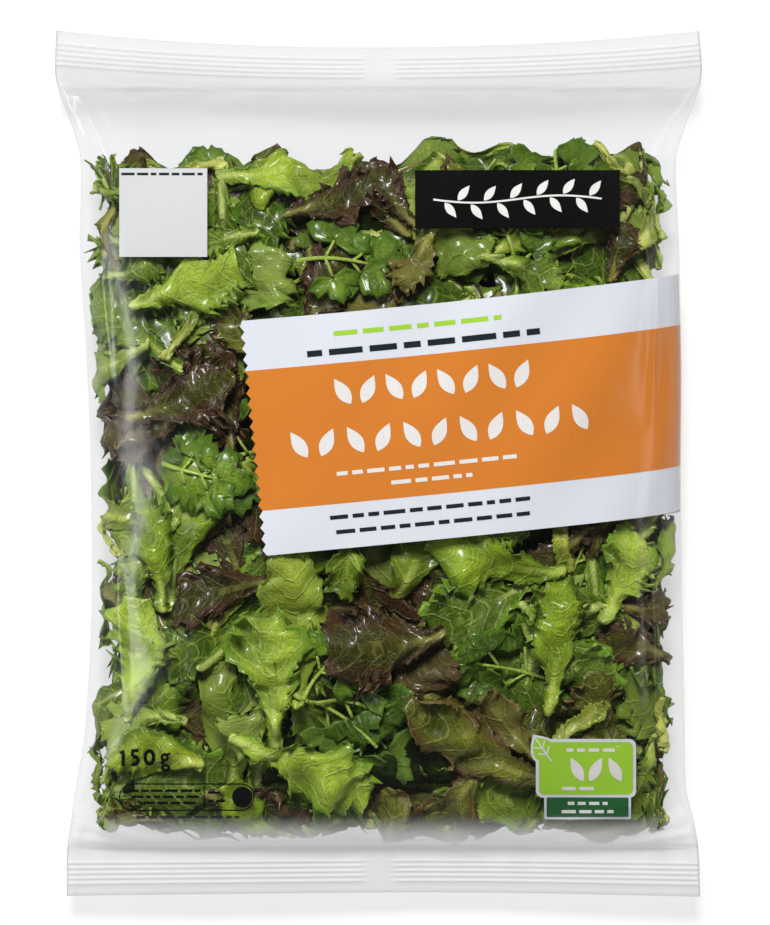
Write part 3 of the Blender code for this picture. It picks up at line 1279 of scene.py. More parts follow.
@dataclass(frozen=True)
class HerbHabit:
    """How a herb sprig grows: a thin stem, and toothed leaflets in threes."""

    stem: Pair = (0.022, 0.040)
    leaflet: Pair = (0.0085, 0.0125)
    stem_half_width: float = 0.00060
    stem_thickness: float = 0.0011
    lobe_turn: float = 70.0
    spread: float = 105.0
    tooth: float = 0.0011
    thickness: float = 0.00028
    rings: int = 5

    def leaflet_blade(self, rng: Rng, radius: float, columns: int) -> Blade:
        """Grow one leaflet as a fan about its stalk's end.

        Args:
            rng: Source of the leaflet's own shape.
            radius: How far it reaches.
            columns: How fine its rim is.

        Returns:
            The leaflet's blade.
        """
        spokes = 2 * columns - 1
        part = np.linspace(0.07, 1.0, self.rings)[:, None]
        angle = np.radians(np.linspace(-self.spread, self.spread, spokes))[None, :]
        lobe = np.abs(np.cos(np.pi * angle / math.radians(self.lobe_turn))) ** 0.6
        outline = radius * (0.50 + 0.50 * lobe) * (1.0 - 0.10 * (angle / angle.max()) ** 2)
        sign = 1.0 - 2.0 * (np.arange(spokes)[None, :] % 2)
        outline = outline + self.tooth * sign * rng.uniform(0.5, 1.0, (1, spokes))
        far = outline * part
        phases = rng.uniform(0.0, 2 * np.pi, 4)
        lift = 0.0009 * part * np.sin(3.0 * angle + phases[0])
        lift = lift + 0.0016 * part**2 * np.sin(1.3 * angle + phases[1])
        lift = lift + 0.0010 * part**3 * np.sin(9.0 * angle + phases[2])
        lift = lift + radius * part**2 * rng.uniform(-0.35, 0.35) * np.cos(angle - phases[3])
        veins = np.abs(np.cos(np.pi * angle / math.radians(self.lobe_turn))) ** 30
        reach, across = far * np.cos(angle), far * np.sin(angle)
        level = np.zeros_like(reach)
        thickness, rib_share = level + self.thickness, level + 0.35 * veins * (1.0 - part)
        beside = np.abs(across)
        return Blade(reach, across, lift, thickness, far, beside, rib_share, level + part)

    def grow(self, rng: Rng, rows: int, columns: int, scale: float) -> list[Blade]:
        """Grow one sprig.

        Args:
            rng: Source of the sprig's own shape.
            rows: How fine its stem is.
            columns: How fine its leaflets are.
            scale: Its size beside a full sprig.

        Returns:
            The sprig's stems and leaflets.
        """
        length = rng.uniform(*self.stem) * scale
        bend = rng.uniform(-0.35, 0.35)
        parts = []
        joints = [(1.0, 0.0, 0.35)]
        joints += [(0.78, turn, 0.30) for turn in (0.85, -0.85)]
        joints += [(0.42, turn, 0.42) for turn in (1.0, -1.1)]
        share = np.linspace(0.0, 1.0, max(8, rows // 4))
        main = np.stack((length * share, bend * length * share**2), axis=1)
        taper = self.stem_half_width * (1.25 - 0.5 * share)
        parts.append(strip(main, taper, self.stem_thickness))
        for place, turn, stalk_share in joints:
            foot = np.array((length * place, bend * length * place**2))
            way = turn + 2 * bend * place + rng.uniform(-0.2, 0.2)
            stalk = length * stalk_share * rng.uniform(0.5, 1.0) * (0.4 if turn == 0.0 else 1.0)
            step = np.array((math.cos(way), math.sin(way)))
            run = foot + stalk * np.linspace(0.0, 1.0, 4)[:, None] * step
            thin = np.full(4, self.stem_half_width * 0.75)
            parts.append(strip(run, thin, self.stem_thickness * 0.8))
            leaflet = self.leaflet_blade(rng, rng.uniform(*self.leaflet), columns)
            end = foot + stalk * step
            parts.append(leaflet.moved(end[0], end[1], way))
        return [part.moved(-length * 0.7, 0.0, 0.0) for part in parts]


class LeafKind(Enum):
    """The kinds of leaf in the bag."""

    LIGHT = "light_frilled_leaves"
    GREEN = "green_frilled_leaves"
    BROAD = "broad_green_leaves"
    RED = "red_leaves"
    BRONZE = "bronze_leaves"
    HERB = "herb_sprigs"
    RIB = "pale_ribs"


@dataclass(frozen=True)
class LeafStock:
    """One kind of leaf with its share of the salad, its finish and its slot."""

    share: float
    habit: Habit | HerbHabit
    finish: LeafFinish
    slot: str


STOCK = {
    LeafKind.LIGHT: LeafStock(
        0.24,
        Habit(
            length=(0.040, 0.062), half_width=(0.0125, 0.0175),
            outline=(0.20, 0.26, 0.46, 0.76, 1.0, 0.98, 0.50), lobes=3.0, frill_waves=7.0,
            frill_height=0.0042,
        ),
        LeafFinish(
            name="light_frilled_leaf", deep=(0.062, 0.116, 0.003), light=(0.470, 0.640, 0.048),
            margin=(0.150, 0.280, 0.014), rib=(0.600, 0.700, 0.190), under=(0.330, 0.424, 0.080),
            glow=(0.450, 0.610, 0.022),
        ),
        "green_leaves",
    ),
    LeafKind.GREEN: LeafStock(
        0.27,
        Habit(
            length=(0.038, 0.060), half_width=(0.0115, 0.0165),
            outline=(0.20, 0.28, 0.52, 0.85, 1.0, 0.90, 0.45), lobes=4.0, lobe_depth=0.34,
            frill_waves=7.0, frill_height=0.0036,
        ),
        LeafFinish(
            name="green_frilled_leaf", deep=(0.031, 0.073, 0.002), light=(0.309, 0.450, 0.014),
            margin=(0.071, 0.154, 0.005), rib=(0.496, 0.593, 0.103), under=(0.232, 0.318, 0.041),
            glow=(0.330, 0.481, 0.010), roughness=0.33,
        ),
        "green_leaves",
    ),
    LeafKind.BROAD: LeafStock(
        0.16,
        Habit(
            length=(0.044, 0.068), half_width=(0.0115, 0.0155),
            outline=(0.22, 0.40, 0.78, 1.0, 0.96, 0.72, 0.25), tear=0.16, lobes=2.0,
            lobe_depth=0.12, tooth=0.0004, frill_waves=3.0, frill_height=0.0020, pucker=0.0004,
            roll=1.5,
        ),
        LeafFinish(
            name="broad_green_leaf", deep=(0.042, 0.086, 0.003), light=(0.381, 0.512, 0.022),
            margin=(0.092, 0.177, 0.007), rib=(0.552, 0.633, 0.125), under=(0.290, 0.360, 0.051),
            glow=(0.386, 0.517, 0.015), roughness=0.30,
        ),
        "green_leaves",
    ),
    LeafKind.RED: LeafStock(
        0.10,
        Habit(
            length=(0.032, 0.050), half_width=(0.0105, 0.0150),
            outline=(0.20, 0.30, 0.55, 0.90, 1.0, 0.90, 0.45), lobes=4.0, lobe_depth=0.38,
            frill_waves=7.0, frill_height=0.0038, pucker=0.0009,
        ),
        LeafFinish(
            name="red_leaf", deep=(0.023, 0.025, 0.003), light=(0.145, 0.132, 0.012),
            margin=(0.051, 0.022, 0.011), rib=(0.275, 0.264, 0.059), under=(0.099, 0.069, 0.022),
            glow=(0.165, 0.060, 0.010), margin_from=0.45, margin_blotch=0.55, vein_share=0.22,
            roughness=0.24, through=0.14,
        ),
        "red_leaves",
    ),
    LeafKind.BRONZE: LeafStock(
        0.09,
        Habit(
            length=(0.036, 0.056), half_width=(0.0105, 0.0150),
            outline=(0.22, 0.34, 0.62, 0.95, 1.0, 0.82, 0.35), lobes=3.0, lobe_depth=0.32,
            frill_waves=5.0,
        ),
        LeafFinish(
            name="bronze_leaf", deep=(0.042, 0.057, 0.003), light=(0.290, 0.294, 0.022),
            margin=(0.087, 0.047, 0.012), rib=(0.456, 0.448, 0.103), under=(0.197, 0.170, 0.041),
            glow=(0.330, 0.253, 0.015), margin_from=0.72, margin_blotch=0.65, roughness=0.30,
            through=0.20,
        ),
        "red_leaves",
    ),
    LeafKind.HERB: LeafStock(
        0.06,
        HerbHabit(),
        LeafFinish(
            name="herb_leaf", deep=(0.031, 0.075, 0.004), light=(0.218, 0.372, 0.017),
            margin=(0.071, 0.150, 0.009), rib=(0.387, 0.513, 0.079), under=(0.139, 0.223, 0.027),
            glow=(0.261, 0.444, 0.015), vein_share=0.0, roughness=0.40,
        ),
        "herb_leaves",
    ),
    LeafKind.RIB: LeafStock(
        0.08,
        Habit(
            length=(0.028, 0.048), half_width=(0.0034, 0.0052),
            outline=(0.80, 0.85, 0.80, 0.75, 0.85, 1.0, 0.60), lobes=2.0, lobe_depth=0.25,
            tooth=0.0004, frill_waves=3.0, frill_height=0.0009, pucker=0.0002, rib=0.0028,
            rib_height=0.0015,
        ),
        LeafFinish(
            name="pale_rib", deep=(0.113, 0.156, 0.015), light=(0.690, 0.714, 0.087),
            margin=(0.194, 0.280, 0.024), rib=(0.716, 0.751, 0.204), under=(0.418, 0.456, 0.081),
            glow=(0.551, 0.601, 0.053),
        ),
        "green_leaves",
    ),
}


@dataclass(frozen=True)
class Patch:
    """Where one kind of leaf shows on the front: its middle as seen from above, and its reach."""

    kind: LeafKind
    across: float
    place: float
    reach: float


PATCH_SPOTS = {
    LeafKind.RED: (
        (-0.0126, 0.0870, 0.019), (-0.0674, 0.0158, 0.021), (-0.0501, -0.0331, 0.013),
        (0.0070, -0.0576, 0.020), (-0.0567, -0.0782, 0.011), (0.0488, -0.0413, 0.012),
        (0.0730, 0.0991, 0.011), (0.0789, -0.0266, 0.008), (0.0746, 0.0648, 0.009),
        (0.0887, -0.0527, 0.008),
    ),
    LeafKind.BRONZE: (
        (0.0380, -0.0929, 0.018), (-0.0861, -0.1099, 0.012), (-0.0877, -0.0348, 0.010),
    ),
    LeafKind.HERB: (
        (-0.0093, 0.0795, 0.012), (-0.0544, 0.0044, 0.011), (0.0331, -0.0691, 0.014),
        (0.0495, 0.1024, 0.012), (-0.0093, -0.0854, 0.014), (0.0691, -0.0315, 0.011),
    ),
    LeafKind.LIGHT: (
        (-0.0730, -0.0299, 0.022), (-0.0765, -0.0965, 0.014), (-0.0289, -0.1001, 0.015),
        (-0.0681, 0.0632, 0.020), (0.0527, -0.0609, 0.014), (0.0854, 0.0795, 0.012),
    ),
    LeafKind.BROAD: ((-0.0354, -0.0740, 0.013), (0.0136, -0.0315, 0.017)),
    LeafKind.RIB: (
        (-0.0191, 0.0730, 0.009), (-0.0681, 0.0436, 0.010), (0.0593, -0.0789, 0.010),
        (0.0789, -0.0413, 0.010), (-0.0501, -0.0511, 0.007),
    ),
}
PATCHES = tuple(Patch(kind, *spot) for kind, spots in PATCH_SPOTS.items() for spot in spots)


@dataclass(frozen=True)
class TopLeaf:
    """One leaf that lies on top, at a place of its own."""

    kind: LeafKind
    across: float
    place: float
    heading: float
    scale: float
    tone: float


TOP_LEAVES = (
    TopLeaf(LeafKind.LIGHT, -0.0354, -0.0740, 95.0, 1.0, 0.9),
    TopLeaf(LeafKind.LIGHT, -0.0818, -0.0658, 80.0, 0.9, 1.0),
    TopLeaf(LeafKind.GREEN, -0.0746, -0.0299, 100.0, 1.0, 0.8),
    TopLeaf(LeafKind.LIGHT, -0.0256, -0.1017, -25.0, 0.9, 1.0),
    TopLeaf(LeafKind.LIGHT, 0.0828, -0.0380, 60.0, 0.8, 1.0),
    TopLeaf(LeafKind.LIGHT, -0.0648, 0.0583, 20.0, 0.9, 0.95),
    TopLeaf(LeafKind.RED, -0.0648, 0.0207, 20.0, 1.15, 0.45),
    TopLeaf(LeafKind.RED, 0.0021, -0.0609, 190.0, 1.2, 0.4),
    TopLeaf(LeafKind.GREEN, 0.0380, -0.0331, 170.0, 1.0, 0.95),
    TopLeaf(LeafKind.LIGHT, -0.0305, 0.0975, 5.0, 0.8, 0.9),
    TopLeaf(LeafKind.RED, -0.0158, 0.0877, 20.0, 0.9, 0.4),
    TopLeaf(LeafKind.BRONZE, 0.0331, -0.0968, 155.0, 1.1, 0.6),
    TopLeaf(LeafKind.GREEN, 0.0593, -0.0609, 85.0, 0.9, 0.9),
    TopLeaf(LeafKind.BROAD, -0.0746, -0.0959, 172.0, 0.75, 0.9),
)


@dataclass
class LaidBlade:
    """A blade where it lies: turns, places along, and heights over the heap's floor."""

    blade: Blade
    kind: LeafKind
    tone: float
    turned_over: float
    turn: Array
    along: Array
    height: Array


@dataclass
class Heap:
    """Leaves laid one over another against the film, from the inside outwards."""

    tube: FilmTube
    low: float = -0.1262
    high: float = 0.1098
    cell: float = 0.0015
    rest_gap: float = 0.00045
    film_gap: float = 0.0008
    side_gap: float = 0.0001
    foot_gap: float = 0.0075
    room: float = 0.018
    end_wave: float = 0.0038
    end_waves: tuple[int, int] = (7, 17)
    end_softness: float = 0.003
    corner_drop: float = 0.012
    corner_reach: float = 0.055
    top_tip_turn: float = -0.132
    foot_from: float = -0.096
    foot_full: float = -0.118
    side_reach: float = 0.035
    rest_softness: float = 0.0008
    blunt: float = 0.0006
    # How deep under the heap's top the painted shade on the leaves becomes full.
    shade_depth: float = 0.007
    laid: list[LaidBlade] = field(default_factory=list)

    def __post_init__(self) -> None:
        """Start with an empty floor."""
        self.columns = round(self.tube.girth / self.cell)
        self.rows = round((self.high - self.low) / self.cell) + 1
        self.level = np.zeros((self.rows, self.columns))

    @staticmethod
    def _spread(level: Array, grow: int, blur: int) -> Array:
        """Widen the high places of a level map, then smooth it.

        Args:
            level: The map, which closes round the tube.
            grow: By how many cells to widen them.
            blur: How many times to smooth it.

        Returns:
            The new map.
        """
        for _ in range(grow):
            level = np.maximum(level, np.maximum(np.roll(level, 1, 1), np.roll(level, -1, 1)))
            up, down = np.vstack((level[1:], level[-1:])), np.vstack((level[:1], level[:-1]))
            level = np.maximum(level, np.maximum(up, down))
        for _ in range(blur):
            level = (level * 2 + np.roll(level, 1, 1) + np.roll(level, -1, 1)) / 4
            up, down = np.vstack((level[1:], level[-1:])), np.vstack((level[:1], level[:-1]))
            level = (level * 2 + up + down) / 4
        return level

    def _read(self, level: Array, turn: Array, along: Array) -> Array:
        """Read a level map between its cells.

        Args:
            level: The map, which closes round the tube.
            turn: Share of the way round.
            along: Place along the bag.

        Returns:
            The level at each spot.
        """
        closed = np.concatenate((level, level[:, :1]), axis=1)
        row = np.clip((along - self.low) / self.cell, 0.0, self.rows - 1.001)
        return read_between(closed, row, (turn % 1.0) * self.columns)

    def _hold(self, turn: Array, along: Array) -> Array:
        """Keep leaves clear of the seals, on an uneven line.

        Args:
            turn: Share of the way round.
            along: Where the leaves would reach along the bag.

        Returns:
            Where they reach.
        """
        few, many = self.end_waves
        wave = np.sin(2 * np.pi * few * turn) + np.sin(2 * np.pi * many * turn + 1)
        wave = self.end_wave * wave
        past_tip = 2 * np.pi * (turn - self.top_tip_turn)
        crest = self.end_wave * (np.cos(few * past_tip) + np.cos(many * past_tip))
        from_side = np.abs(turn - np.round(turn)) - 0.25
        corner = np.exp(-((from_side / self.corner_reach) ** 2))
        high = self.high - self.end_wave + crest - self.corner_drop * corner
        low = self.low + 0.35 * (self.end_wave - wave) + 0.5 * self.corner_drop * corner
        along = high - soft_plus(high - along, self.end_softness)
        return low + soft_plus(along - low, self.end_softness)

    @staticmethod
    def _finer(grid: Array, times: int = 3) -> Array:
        """Fill a grid in between its points.

        Args:
            grid: The grid.
            times: How many steps take the place of one.

        Returns:
            The finer grid.
        """
        for axis in (0, 1):
            grid = np.moveaxis(grid, axis, 0)
            share = (np.arange(times) / times)[None, :, None]
            between = grid[:-1, None] * (1 - share) + grid[1:, None] * share
            grid = np.concatenate((between.reshape(-1, grid.shape[1]), grid[-1:]))
            grid = np.moveaxis(grid, 0, axis)
        return grid

    def lay(
        self,
        blades: list[Blade],
        kind: LeafKind,
        spot: Pair,
        heading: float,
        tone: float,
        turned_over: bool,
    ) -> None:
        """Lay one leaf on the heap.

        Args:
            blades: The leaf's parts.
            kind: The leaf's kind.
            spot: The turn and the place along of its middle.
            heading: Which way its tip points, in radians from round the tube to along it.
            tone: From 0, deep, to 1, light; inner layers get low values as painted shade.
            turned_over: True where its underside faces out.
        """
        floor = self._spread(self.level, 1, 3)
        for blade in blades:
            across = -blade.across if turned_over else blade.across
            run = blade.reach * math.cos(heading) - across * math.sin(heading)
            turn = spot[0] + run / self.tube.girth
            along = spot[1] + blade.reach * math.sin(heading) + across * math.cos(heading)
            along = self._hold(turn, along)
            under = self._read(floor, turn, along)
            base = float(np.percentile(under, 65)) + 0.6 * float(np.std(blade.lift))
            wanted = base + (-blade.lift if turned_over else blade.lift)
            rest = under + self.rest_gap
            height = (wanted + rest + np.sqrt((wanted - rest) ** 2 + self.rest_softness**2)) / 2
            over = float(turned_over)
            self.laid.append(LaidBlade(blade, kind, tone, over, turn, along, height))
            column = (self._finer(turn) % 1.0 * self.columns).astype(int) % self.columns
            row = np.clip((self._finer(along) - self.low) / self.cell, 0, self.rows - 1)
            top = self._finer(height + blade.thickness)
            np.maximum.at(self.level, (row.astype(int).ravel(), column.ravel()), top.ravel())

    def room_at(self, turn: Array, along: Array) -> Array:
        """Find how deep the leaves may reach under the film.

        Args:
            turn: Share of the way round.
            along: Place along the bag.

        Returns:
            The depth at each spot.
        """
        form = self.tube.form
        places = np.linspace(self.low, self.high, 60)
        front = form.points(np.array(0.0), places, True)[..., 2]
        back = form.points(np.array(0.0), places, False)[..., 2]
        thick = np.interp(along, places, front - back)
        side = 1.0 - 0.35 * np.sin(2 * np.pi * turn) ** 2
        return np.minimum(self.room, 0.42 * thick) * side

    def bind(self, sheaves: dict[LeafKind, Sheaf]) -> None:
        """Press the heap against the film, paint shade on parts lying deeper under its top, and add
        every blade to its kind's sheaf.

        Args:
            sheaves: One sheaf for each kind.
        """
        top = self._spread(self.level, 3, 8)
        for item in self.laid:
            under_top = self._read(top, item.turn, item.along) - item.height
            under_top = soft_plus(under_top, self.blunt)
            room = self.room_at(item.turn, item.along)
            from_side = np.abs(item.turn - np.round(item.turn)) - 0.25
            at_side = np.exp(-((from_side / self.side_reach) ** 2))
            foot = soft_step(self.foot_from, self.foot_full, item.along)
            depth = self.film_gap + (self.side_gap + self.foot_gap * foot) * at_side
            depth = depth + room * (1.0 - np.exp(-under_top / room))
            middle = self.tube.place(item.turn, item.along, depth)
            rows, columns = item.turn.shape
            normal = np.cross(np.gradient(middle, axis=1), np.gradient(middle, axis=0))
            normal /= np.linalg.norm(normal, axis=-1, keepdims=True) + TINY
            out = self.tube.place(item.turn, item.along, depth - 0.001) - middle
            if np.sum(normal * out) < 0.0:
                normal = -normal
            thick = item.blade.thickness[..., None]
            triangles = grid_triangles(rows, columns)
            first = middle.reshape(-1, 3)[triangles[: len(triangles) // 2]]
            facing = np.cross(first[:, 1] - first[:, 0], first[:, 2] - first[:, 0]).sum(axis=0)
            if np.dot(facing, normal.reshape(-1, 3).sum(axis=0)) < 0.0:
                triangles = triangles[:, ::-1]
            ribbed = 0.25 if item.turned_over == 0.0 else 0.75
            upper = (middle + normal * thick * ribbed).reshape(-1, 3)
            lower = (middle - normal * thick * (1.0 - ribbed)).reshape(-1, 3)
            blade = item.blade
            parts = (blade.spot_reach, blade.spot_across, blade.rib_share)
            spot = np.stack(parts, axis=-1).reshape(-1, 3)
            # Painted shade: parts lying deeper under the heap's top are given a darker colour.
            shade = np.clip(under_top.ravel() / self.shade_depth, 0.0, 1.0)
            looks = []
            for underside in (item.turned_over, 1.0 - item.turned_over):
                look = np.empty_like(spot)
                look[:, 0] = item.tone - 0.5 * shade
                look[:, 1] = blade.edge.ravel()
                look[:, 2] = underside
                looks.append(look)
            plane = np.stack((blade.reach.ravel(), blade.across.ravel()), axis=1)
            marks = {"spot": (spot, spot), "look": (looks[0], looks[1])}
            sheaves[item.kind].add(upper, lower, triangles, plane, marks)


@dataclass
class SaladFill:
    """The salad: layers of scattered leaves round the whole bag."""

    tube: FilmTube
    spacing: float = 0.025
    back_spacing: float = 0.034
    front_reach: float = 0.31
    fine: tuple[int, int] = (40, 12)
    coarse: tuple[int, int] = (22, 7)
    small: tuple[int, int] = (28, 9)
    scatter_low: float = -0.113
    scatter_high: float = 0.096
    heart_rings: tuple[int, int] = (64, 120)
    heart_insets: Pair = (0.022, 0.026)

    def __post_init__(self) -> None:
        """Find the patches on the tube."""
        across = np.array([patch.across for patch in PATCHES])
        place = np.array([patch.place for patch in PATCHES])
        self.patch_turns, self.patch_alongs = self.tube.spots(across, place)

    def _scatter(self, rng: Rng, spacing: float, start: float, end: float) -> list[Pair]:
        """Spread spots evenly, with some jitter, between two turns.

        Args:
            rng: Source of the jitter.
            spacing: Roughly how far apart the spots lie.
            start: The turn where they start.
            end: The turn where they end.

        Returns:
            The turn and the place along of each spot, in any order.
        """
        low, high = self.scatter_low, self.scatter_high
        rows = round((high - low) / (spacing * 0.87))
        columns = max(1, round((end - start) * self.tube.girth / spacing))
        spots = []
        for row in range(rows + 1):
            for column in range(columns):
                shift = (column + 0.5 * (row % 2) + rng.uniform(0.1, 0.9)) / columns
                along = low + (high - low) * (row + rng.uniform(-0.35, 0.35)) / rows
                spots.append((start + (end - start) * shift, along))
        rng.shuffle(spots)
        return [(float(turn), float(along)) for turn, along in spots]

    def _kind(self, rng: Rng, spot: Pair) -> LeafKind:
        """Choose a kind: that of the patch the spot lies in, or any.

        Args:
            rng: Source of the choice.
            spot: The turn and the place along.

        Returns:
            The kind.
        """
        run = (self.patch_turns - spot[0]) * self.tube.girth
        gap = np.hypot(run, self.patch_alongs - spot[1])
        closeness = gap / np.array([patch.reach for patch in PATCHES])
        nearest = int(np.argmin(closeness))
        if closeness[nearest] < 1.0:
            return PATCHES[nearest].kind
        kinds = list(LeafKind)
        return kinds[int(rng.choice(len(kinds), p=[STOCK[kind].share for kind in kinds]))]

    def _layer(
        self,
        heap: Heap,
        rng: Rng,
        spots: list[Pair],
        size: tuple[int, int],
        scale: float,
        tones_and_shade: Pair,
    ) -> None:
        """Lay one layer of scattered leaves.

        Args:
            heap: The heap they are laid on.
            rng: Source of each leaf's kind, size, heading and lightness.
            spots: The turn and the place along of each leaf.
            size: Rows and columns of a leaf's grid.
            scale: Their size beside a full leaf.
            tones_and_shade: The deepest and the lightest value, darker for inner layers as painted
                shade.
        """
        for spot in spots:
            kind = self._kind(rng, spot)
            blades = STOCK[kind].habit.grow(rng, *size, scale * rng.uniform(0.85, 1.1))
            heading = rng.uniform(0.0, 2 * np.pi)
            heap.lay(blades, kind, spot, heading, rng.uniform(*tones_and_shade), rng.random() < 0.25)

    def _top(self, heap: Heap) -> None:
        """Lay the leaves that lie on top at places of their own.

        Args:
            heap: The heap they are laid on.
        """
        rng = np.random.default_rng(SEED + 2)
        across = np.array([leaf.across for leaf in TOP_LEAVES])
        place = np.array([leaf.place for leaf in TOP_LEAVES])
        for leaf, turn, along in zip(TOP_LEAVES, *self.tube.spots(across, place)):
            blades = STOCK[leaf.kind].habit.grow(rng, *self.fine, leaf.scale)
            spot = (float(turn), float(along))
            heap.lay(blades, leaf.kind, spot, math.radians(leaf.heading), leaf.tone, False)

    def build(self) -> list[Piece]:
        """Lay the whole heap.

        Returns:
            One piece for each kind of leaf, and the dark core painted as shade.
        """
        rng = np.random.default_rng(SEED)
        heap = Heap(self.tube)
        front = self.front_reach
        # Each row's last pair is its range of lightness, darker for the inner layers as painted
        # shade.
        for spacing, start, end, size, scale, tones_and_shade in (
            (self.spacing, -front, front, self.coarse, 1.0, (0.0, 0.2)),
            (self.back_spacing, front, 1.0 - front, self.coarse, 1.1, (0.0, 0.5)),
            (self.back_spacing, front, 1.0 - front, self.fine, 1.0, (0.1, 1.0)),
            (self.spacing, -front, front, self.coarse, 0.8, (0.0, 0.3)),
            (self.spacing, -front, front, self.fine, 1.0, (0.0, 0.6)),
            (self.spacing * 1.08, -front, front, self.fine, 0.92, (0.1, 1.0)),
            (self.spacing * 1.35, -front, front, self.small, 0.58, (0.2, 1.1)),
        ):
            self._layer(heap, rng, self._scatter(rng, spacing, start, end), size, scale, tones_and_shade)
        self._top(heap)
        sheaves = {kind: Sheaf(kind.value) for kind in LeafKind}
        heap.bind(sheaves)
        pieces = []
        for kind, sheaf in sheaves.items():
            stock = STOCK[kind]
            pieces.append(sheaf.build(stock.finish.make(), stock.slot))
        pieces.append(self._heart(heap))
        return pieces

    def _heart(self, heap: Heap) -> Piece:
        """Make the closed dark core, painted as deep shade, that the leaves lie round.

        Args:
            heap: The heap that it fills.

        Returns:
            The piece.
        """
        rows, turns = self.heart_rings
        low, high = self.heart_insets
        alongs = np.linspace(heap.low + low, heap.high - high, rows)[:, None]
        spots = np.arange(turns)[None, :] / turns
        share = np.linspace(0, 1, rows)
        end = soft_step(0.0, 0.25, np.minimum(1.0 - share, share))[:, None]
        lumps = np.sin(2 * np.pi * 11 * spots + 60 * alongs) * np.sin(230 * alongs + 3)
        depth = heap.room_at(spots, alongs) * (1.12 + 0.7 * (1.0 - end)) + 0.001 * lumps
        grid = self.tube.place(spots + 0 * alongs, alongs + 0 * spots, depth)
        points = np.concatenate((grid.reshape(-1, 3), grid[[0, -1]].mean(axis=1)))
        number = np.arange(rows * turns).reshape(rows, turns)
        closed = np.concatenate((number, number[:, :1]), axis=1)
        sides = closed.ravel()[grid_triangles(rows, turns + 1)]
        foot, head = np.full(turns, rows * turns), np.full(turns, rows * turns + 1)
        low_end = np.stack((closed[0, 1:], closed[0, :-1], foot), axis=1)
        high_end = np.stack((closed[-1, :-1], closed[-1, 1:], head), axis=1)
        triangles = np.concatenate((sides, low_end, high_end))
        piece = mesh_piece(HeartFinish.name, points, triangles, {}, {})
        piece.data.materials.append(HeartFinish().make())
        enlist(piece)
        return piece


